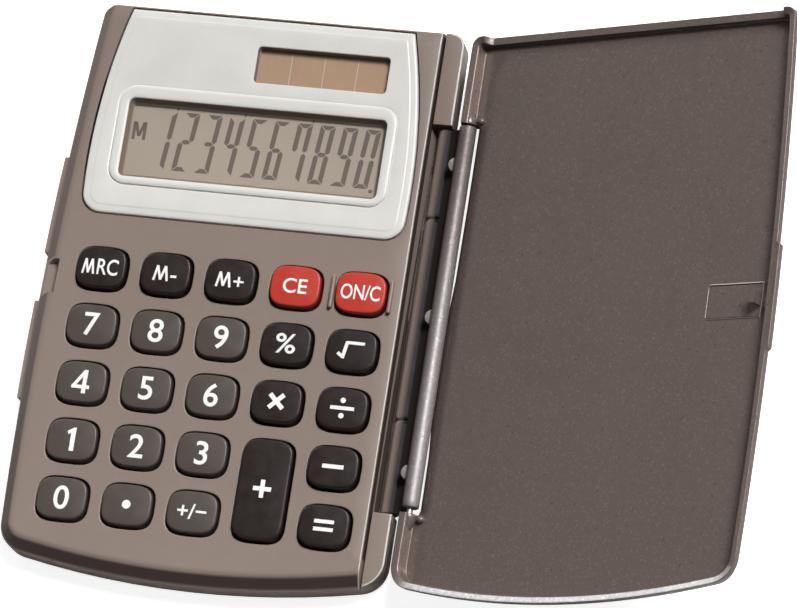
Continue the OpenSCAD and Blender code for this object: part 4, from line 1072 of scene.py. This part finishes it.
def take_flat(mesh):
    """Plan points and faces of a flat mesh, which is then removed."""
    flat = np.zeros(len(mesh.vertices) * 3)
    mesh.vertices.foreach_get("co", flat)
    faces = [list(polygon.vertices) for polygon in mesh.polygons]
    bpy.data.meshes.remove(mesh)
    return flat.reshape(-1, 3)[:, :2], faces


def lay_print(key, plan, faces):
    """Cuts a flat legend along a grid so that it can bend, and lays it a hair above the key's crown."""
    mesh = bpy.data.meshes.new("print")
    mesh.from_pydata(lift(plan, 0.0), [], faces)
    cut = bmesh.new()
    cut.from_mesh(mesh)
    for axis, normal in enumerate(np.eye(3)[:2]):
        for at in np.arange(plan[:, axis].min() + PRINT_GRID / 2, plan[:, axis].max(), PRINT_GRID):
            everything = cut.verts[:] + cut.edges[:] + cut.faces[:]
            bmesh.ops.bisect_plane(cut, geom=everything, plane_co=at * normal, plane_no=normal)
    bmesh.ops.triangulate(cut, faces=cut.faces)
    cut.to_mesh(mesh)
    cut.free()
    plan, faces = take_flat(mesh)
    return lift(plan, crown_height(key, plan) + PRINT_UP), faces


class CALCULATOR_OT_legends(bpy.types.Operator):
    """Prints the white legends on the keys"""

    bl_idname = "calculator.legends"
    bl_label = "Key legends"

    def execute(self, context):
        for key in KEYS:
            rim = key_surface(key)[KEY_RIM, :, :2]
            centre = (rim.min(0) + rim.max(0)) / 2
            loops = [loop + centre for loop in SIGNS.get(key.legend, ())]
            parts = [lay_print(key, loop, [list(range(len(loop)))]) for loop in loops]
            parts = [(points + [0, 0, PRINT_OVER * k], faces) for k, (points, faces) in enumerate(parts)]
            label, shift = LETTERS.get(key.legend, ("" if loops else key.legend, 0.0))
            if label:
                parts.append(lay_print(key, *self.letters(label, centre + [shift, 0])))
            make_piece(key.name + "_legend", parts, "legend_ink", key.name, merge=1e-6)
        return {"FINISHED"}

    @staticmethod
    def letters(label, centre):
        """Plan points and faces of letters from the built-in font, thickened and sized."""
        curve = bpy.data.curves.new("letters", "FONT")
        curve.body = label.replace("-", "\u2212")
        curve.align_x, curve.align_y = "CENTER", "CENTER"
        curve.size = 1.0
        curve.offset = 0.012
        curve.resolution_u = 6
        text = add_object("letters", curve)
        bpy.context.view_layer.update()
        shown = text.evaluated_get(bpy.context.evaluated_depsgraph_get())
        plan, faces = take_flat(bpy.data.meshes.new_from_object(shown))
        bpy.data.objects.remove(text)
        low, high = plan.min(0), plan.max(0)
        scale = LEGEND_HEIGHT.get(label, DIGIT_HEIGHT) / (high[1] - low[1])
        return (plan - (low + high) / 2) * [scale * LEGEND_WIDTH.get(label, 1.0), scale] + centre, faces


def cover_profile():
    """Section of the cover in its closed place: inset at the free side, inset at the other sides, and height.
    It runs from the outer face over the edge, down the wall, round the rim's crest, along its inner slope and
    up the inner wall to the floor. Above its upright part the outer wall slopes in. The inner wall does so
    only at the free side."""
    a = np.radians(np.linspace(0, 90, 7))
    r, f, wall, tab = 0.12, 0.22, COVER_WALL, RIM_Z + TAB_H
    outer = np.concatenate([
        [[1.0, COVER_TOP_Z], [0.4, COVER_TOP_Z], [0.16, COVER_TOP_Z - 0.02], [0.03, COVER_TOP_Z - 0.12]],
        [[0.0, COVER_TOP_Z - 0.3], [0.0, tab + 0.02], [0.0, tab - 0.1]],
        np.stack([r * (1 - np.cos(a)), RIM_Z + r * (1 - np.sin(a))], 1)])
    slope = np.array([[0.2, 0.02], [0.5, 0.14], [0.85, 0.28], [1.17, 0.41], [1.27, 0.48], [wall - 0.06, 0.6],
                      [wall - 0.01, 0.78], [wall, COVER_LIP_H]])
    fillet = np.stack([wall + f * (1 - np.cos(a)), COVER_FLOOR_Z - f * (1 - np.sin(a))], 1)
    inset, z = np.concatenate([outer, slope + [0, RIM_Z], fillet, [[2.3, COVER_FLOOR_Z]]]).T
    s = np.clip((z - RIM_Z - COVER_UPRIGHT) / (COVER_TOP_Z - RIM_Z - COVER_UPRIGHT), 0, 1)
    outside = np.arange(len(z)) < len(outer)
    return np.stack([inset + COVER_EDGE * s, inset + COVER_HINGE_EDGE * s * outside, z], 1)


class CALCULATOR_OT_cover(bpy.types.Operator):
    """Builds the cover: a shallow tray with a sloped edge, a thin rim, hinge ears and a finger tab"""

    bl_idname = "calculator.cover"
    bl_label = "Cover"

    def execute(self, context):
        skin, seat, edge = self.skin(), self.latch_seat(), self.hinge_edge()
        floor = np.concatenate([skin[-1, :, :2], edge - [FOLD_W, 0]])
        parts = [sheet(skin), fan(skin[:, 0]), fan(skin[::-1, -1]),
                 plate([floor, seat[0, :, :2]], COVER_FLOOR_Z), sheet(seat, closed=True), fan(seat[-1]),
                 plate([np.concatenate([skin[0, :, :2], edge])], COVER_TOP_Z), sheet(self.fold(skin, edge))]
        for end, away in ((NOTCH_Y1, 1), (NOTCH_Y0, -1)):
            parts += self.ear(end, away)
            parts += self.ball((HINGE_X - 2.5, end + 0.9 * away, COVER_FLOOR_Z - 0.3), 0.75)
        # Painted highlight: a light silver band on the rim's crest, from the free side's lower corner round
        # to the hinge.
        crest, from_corner = slice(13, 18), slice(322, None)
        rim = thin_band(skin[crest, from_corner], 0, 0, 0.015)
        for name, patches, finish, replaced in (("cover_tray", parts, "cover_paint", ("cover",)),
                                                ("cover_rim_highlight", rim, "rim_paint", ())):
            make_piece(name, patches, finish, "cover", replaced, cover_place())
        return {"FINISHED"}

    @staticmethod
    def skin():
        """Grid of the cover's wall: the section carried along the outline. The finger tab is drawn out of the
        free side, and the wall of the top end is cut lower."""
        rows, soft = [], 0.3
        for free, other, z in cover_profile():
            plan = cover_path(COVER_IN + free, COVER_IN + other)
            x, y = plan.T
            if other < 0.3 and z < RIM_Z + TAB_H:
                on_tab = step(TAB_HALF, TAB_HALF - soft, np.abs(y - TAB_Y)) * (x < LEFT_X)
                plan = plan - np.stack([(TAB_OUT + free - other) * on_tab, 0 * on_tab], 1)
            after_start = step(TOP_CUT_X0 - soft, TOP_CUT_X0 + soft, x)
            before_end = step(TOP_CUT_X1 + soft, TOP_CUT_X1 - soft, x)
            cut = (TOP_CUT_Z - RIM_Z) * after_start * before_end * (y > 50)
            rows.append(lift(plan, np.maximum(z, RIM_Z + cut)))
        return np.array(rows)

    @staticmethod
    def latch_seat():
        """Seat of the latch plate in the floor: a low bead round its edge, then straight down. It stops short
        of the free side's wall."""
        section = np.array([(0.42, 0.0), (0.3, -0.09), (0.2, -0.12), (0.12, -0.06), (0.1, 0.0), (0.1, 0.5)])
        centre, size = (LATCH_X0 + LATCH_L / 2, LATCH_Y), (LATCH_L, LATCH_W - 0.2)
        rings = framed(centre, size, 0.3, section + [0, COVER_FLOOR_Z])
        rings[:, :, 0] = np.maximum(rings[:, :, 0], LATCH_X0 + 1.6 - section[:, :1])
        return rings

    @staticmethod
    def hinge_edge():
        """Cut edge of the floor beside the hinge: close to the barrel in the middle, drawn back towards both
        ends."""
        y = np.linspace(NOTCH_Y0, NOTCH_Y1, 80)[1:-1]
        back = np.interp(y, (-34, -27, -22, 2, 7, 22), (0.2, 0.12, -0.28, -0.28, 0.12, 0.3))
        return np.stack([HINGE_X - HINGE_CUT + 0.2 - back, y], 1)

    @staticmethod
    def fold(skin, edge):
        """Rows from the floor round its fold to the outer face: the cut edge drawn back less and less."""
        first, last = skin[-1, -1:, :2], skin[-1, :1, :2]
        section = ((FOLD_W, 0.0), (1.1, 0.02), (0.6, 0.07), (0.2, 0.15), (0.0, 0.25),
                   (0.1, COVER_TOP_Z - COVER_FLOOR_Z))
        return np.array([lift(np.concatenate([first, edge - [back, 0], last]), COVER_FLOOR_Z + up)
                         for back, up in section])

    @staticmethod
    def ear(end, away):
        """A hinge ear: a boss about the hinge axis that narrows as it runs into the rim."""
        along = np.array([0, 0.06, 0.2, 0.8, 1.6, 2.4, 3.1, EAR_L])
        radius = np.array([EAR_R - 0.3, EAR_R - 0.16, EAR_R - 0.1, 1.5, 1.3, 1.0, 0.65, 0.2])
        return tube((HINGE_X, CLOSED_AXIS_Z), end + away * along, radius)

    @staticmethod
    def ball(c, r):
        """A sphere about c: circles of radius r sin v at the heights r cos v."""
        angles = np.radians(np.linspace(1, 179, 13))
        return closed_rings(np.array([
            lift(arc(c, r * math.sin(v), 0, 340, 17), c[2] + r * math.cos(v)) for v in angles]))


def tube(axis, y, radius):
    """A round bar along y: circles of the given radii about an axis given by its x and z, closed at both
    ends."""
    a = np.radians(np.arange(0, 360, 7.5))
    across, up = np.outer(radius, np.cos(a)), np.outer(radius, np.sin(a))
    return closed_rings(np.stack([axis[0] + across, np.broadcast_to(y[:, None], up.shape), axis[1] + up], -1))


def prism(section, *ends):
    """A straight bar along y: a section in x and z at both ends, joined and closed."""
    return closed_rings(np.array([np.insert(np.array(section), 1, y, 1) for y in ends]))


class CALCULATOR_OT_hinge(bpy.types.Operator):
    """Builds the hinge link: two barrels joined by a thin web, with three round bosses"""

    bl_idname = "calculator.hinge"
    bl_label = "Hinge link"

    def execute(self, context):
        place = Matrix.Translation((HINGE_X, 0, HINGE_Z)) @ Matrix.Rotation(math.radians(-LINK_REST), 4, "Y")
        y = np.linspace(NOTCH_Y0 + 0.3, NOTCH_Y1 - 0.3, 420)
        creases = sum(np.exp(-((y - NOTCH_Y - side * CREASE_Y) / CREASE_W) ** 2) for side in (-1, 1))
        inner = tube((0, 0), y, self.ends(y, BODY_BARREL_R) - CREASE_D * creases)
        y = np.linspace(NOTCH_Y0 + 1.2, NOTCH_Y1 - 0.3, 60)
        y = np.concatenate([y[:1], y[:1] + 0.1, y[:1] + 0.25, y[1:-1], y[-1:] - 0.25, y[-1:] - 0.1, y[-1:]])
        outer = [*tube((LINK_D, 0), y, self.ends(y, COVER_BARREL_R))]
        back = np.array(place.inverted())
        for k in (-1, 0, 1):
            for points, faces in self.boss((BOSS_X, NOTCH_Y + k * BOSS_PITCH)):
                outer.append((points @ back[:3, :3].T + back[:3, 3], faces))
        # Painted shade: the web is painted nearly black for the shade in the hollow between the barrels.
        web = prism([[0, -0.8], [LINK_D, -0.8], [LINK_D, 0.3], [0, 0.3]], NOTCH_Y0 + 0.4, NOTCH_Y1 - 0.5)
        for name, parts, finish, replaced in (
                ("hinge_link_skin", inner, "hinge_paint", ("hinge_link",)),
                ("hinge_outer_barrel", outer, "barrel_paint", ()),
                ("hinge_web", web, "web_paint", ())):
            make_piece(name, parts, finish, "link", replaced, place)
        near, far = STEP_X, STEP_X + BAY_W
        wedge = prism([[near, BAY_Z], [near, BAY_FOOT], [far, BAY_FOOT], [far, BAY_Z - BAY_DROP]],
                      NOTCH_Y0 + 0.01, NOTCH_Y1 - 0.01)
        make_piece("hinge_bay_liner", wedge, "case_paint", "case")
        return {"FINISHED"}

    @staticmethod
    def ends(y, r):
        """Radius along a barrel, with both ends rounded off over a quarter of a millimetre."""
        near = np.minimum(y - y[0], y[-1] - y)
        return r - 0.25 * np.clip(1 - near / 0.25, 0, 1) ** 2

    @staticmethod
    def boss(c):
        """A round boss that stands upright as the hinge lies open, with a soft upper edge."""
        section = ((0.0, 1.8), (0.0, 0.2), (0.06, 0.06), (0.2, 0.0))
        return closed_rings(np.array([
            lift(arc(c, BOSS_R - i, 0, 350, 35), BOSS_Z - down) for i, down in section]))


class CALCULATOR_OT_stage(bpy.types.Operator):
    """Sets the pale floor, the soft studio light and the camera"""

    bl_idname = "calculator.stage"
    bl_label = "Stage"

    def execute(self, context):
        self.floor()
        self.world()
        self.lamp("back_right", (0.31, 0.34, 0.88), 2.2, (1.0, 1.0), 14.2, (-0.36, -0.9, 0), 50)
        self.lamp("card_left", (-0.64, 0.76, 0.09), 1.6, (0.7, 0.28), 9, MIDDLE, 180)
        self.camera()
        context.scene.view_settings.view_transform = "Standard"
        return {"FINISHED"}

    @staticmethod
    def floor():
        """A wide pale floor just under the rear face. Seen directly it is white where the object doesn't
        shade it."""
        half, z = 3.0, -0.00005
        mesh = bpy.data.meshes.new("floor")
        square = [(-half, -half, z), (half, -half, z), (half, half, z), (-half, half, z)]
        mesh.from_pydata(square, [], [(0, 1, 2, 3)])
        floor = add_object("floor", mesh)
        n = Nodes("floor_paper", Roughness=0.9, Specular_IOR_Level=0.1)
        n.to(n.ramp(n.noise(40, 3), (0.3, 0.79), (0.7, 0.81)), "Base Color")
        path = n.add("ShaderNodeLightPath")
        seen = n.math("MAXIMUM", path.outputs["Is Camera Ray"], path.outputs["Is Transmission Ray"])
        glow = n.add("ShaderNodeEmission")
        glow.inputs["Color"].default_value = (1, 1, 1, 1)
        n.link(n.math("MULTIPLY", seen, 0.86), glow.inputs["Strength"])
        both = n.add("ShaderNodeAddShader")
        n.link(n.shader.outputs[0], both.inputs[0])
        n.link(glow.outputs[0], both.inputs[1])
        n.link(both.outputs[0], n.tree.nodes["Material Output"].inputs["Surface"])
        mesh.materials.append(n.material)

    @staticmethod
    def world():
        """A soft even surround that reads as white behind the object."""
        world = bpy.data.worlds.new("surround")
        bpy.context.scene.world = world
        world.use_nodes = True
        tree = world.node_tree
        back = tree.nodes["Background"]
        path = tree.nodes.new("ShaderNodeLightPath")
        add = tree.nodes.new("ShaderNodeMath")
        add.operation = "MULTIPLY_ADD"
        add.inputs[1].default_value = 0.94
        add.inputs[2].default_value = 0.06
        tree.links.new(path.outputs["Is Camera Ray"], add.inputs[0])
        tree.links.new(add.outputs[0], back.inputs["Strength"])
        back.inputs["Color"].default_value = (1, 1, 1, 1)

    @staticmethod
    def lamp(name, direction, distance, size, power, aim, spread):
        """A soft oblong lamp in a direction from the object's middle. One that is aimed past it gives a pool
        of light that fades across it."""
        light = bpy.data.lights.new(name, "AREA")
        light.shape = "RECTANGLE"
        light.size, light.size_y = size
        light.energy = power
        light.spread = math.radians(spread)
        lamp = add_object(name, light)
        lamp.location = MIDDLE + Vector(direction).normalized() * distance
        lamp.rotation_euler = (lamp.location - Vector(aim)).to_track_quat("Z", "Y").to_euler()

    @staticmethod
    def camera():
        """The photograph's view: long lens, high over the lower right of the keys."""
        data = bpy.data.cameras.new("camera")
        data.sensor_width = 36
        data.lens = LENS
        data.clip_start, data.clip_end = 0.05, 20
        camera = add_object("camera", data)
        right, down, ahead = Vector(CAMERA_RIGHT), Vector(CAMERA_DOWN), Vector(CAMERA_AHEAD)
        turn = Matrix((right, -down, -ahead)).transposed().to_4x4()
        camera.matrix_world = Matrix.Translation(Vector(CAMERA_AT) * MM) @ turn
        bpy.context.scene.camera = camera


OPERATORS = (
    CALCULATOR_OT_stage, CALCULATOR_OT_nodes, CALCULATOR_OT_front_case, CALCULATOR_OT_bezel,
    CALCULATOR_OT_display, CALCULATOR_OT_keys, CALCULATOR_OT_legends, CALCULATOR_OT_hinge,
    CALCULATOR_OT_cover,
)


class CALCULATOR_PT_pieces(bpy.types.Panel):
    """Lists the calculator's pieces and colours"""

    bl_label = "Calculator"
    bl_idname = "CALCULATOR_PT_pieces"
    bl_space_type = "VIEW_3D"
    bl_region_type = "UI"
    bl_category = "Calculator"

    def draw(self, context):
        for name in CalculatorLook.__annotations__:
            self.layout.prop(context.scene.calculator_look, name)
        for operator in OPERATORS:
            self.layout.operator(operator.bl_idname)


CLASSES = (CalculatorLook, *OPERATORS, CALCULATOR_PT_pieces)


def register():
    for cls in CLASSES:
        bpy.utils.register_class(cls)
    bpy.types.Scene.calculator_look = PointerProperty(type=CalculatorLook)


def unregister():
    del bpy.types.Scene.calculator_look
    for cls in reversed(CLASSES):
        bpy.utils.unregister_class(cls)


def main():
    """Builds every piece in order."""
    register()
    for operator in OPERATORS:
        group, name = operator.bl_idname.split(".")
        getattr(getattr(bpy.ops, group), name)()


if __name__ == "__main__":
    main()
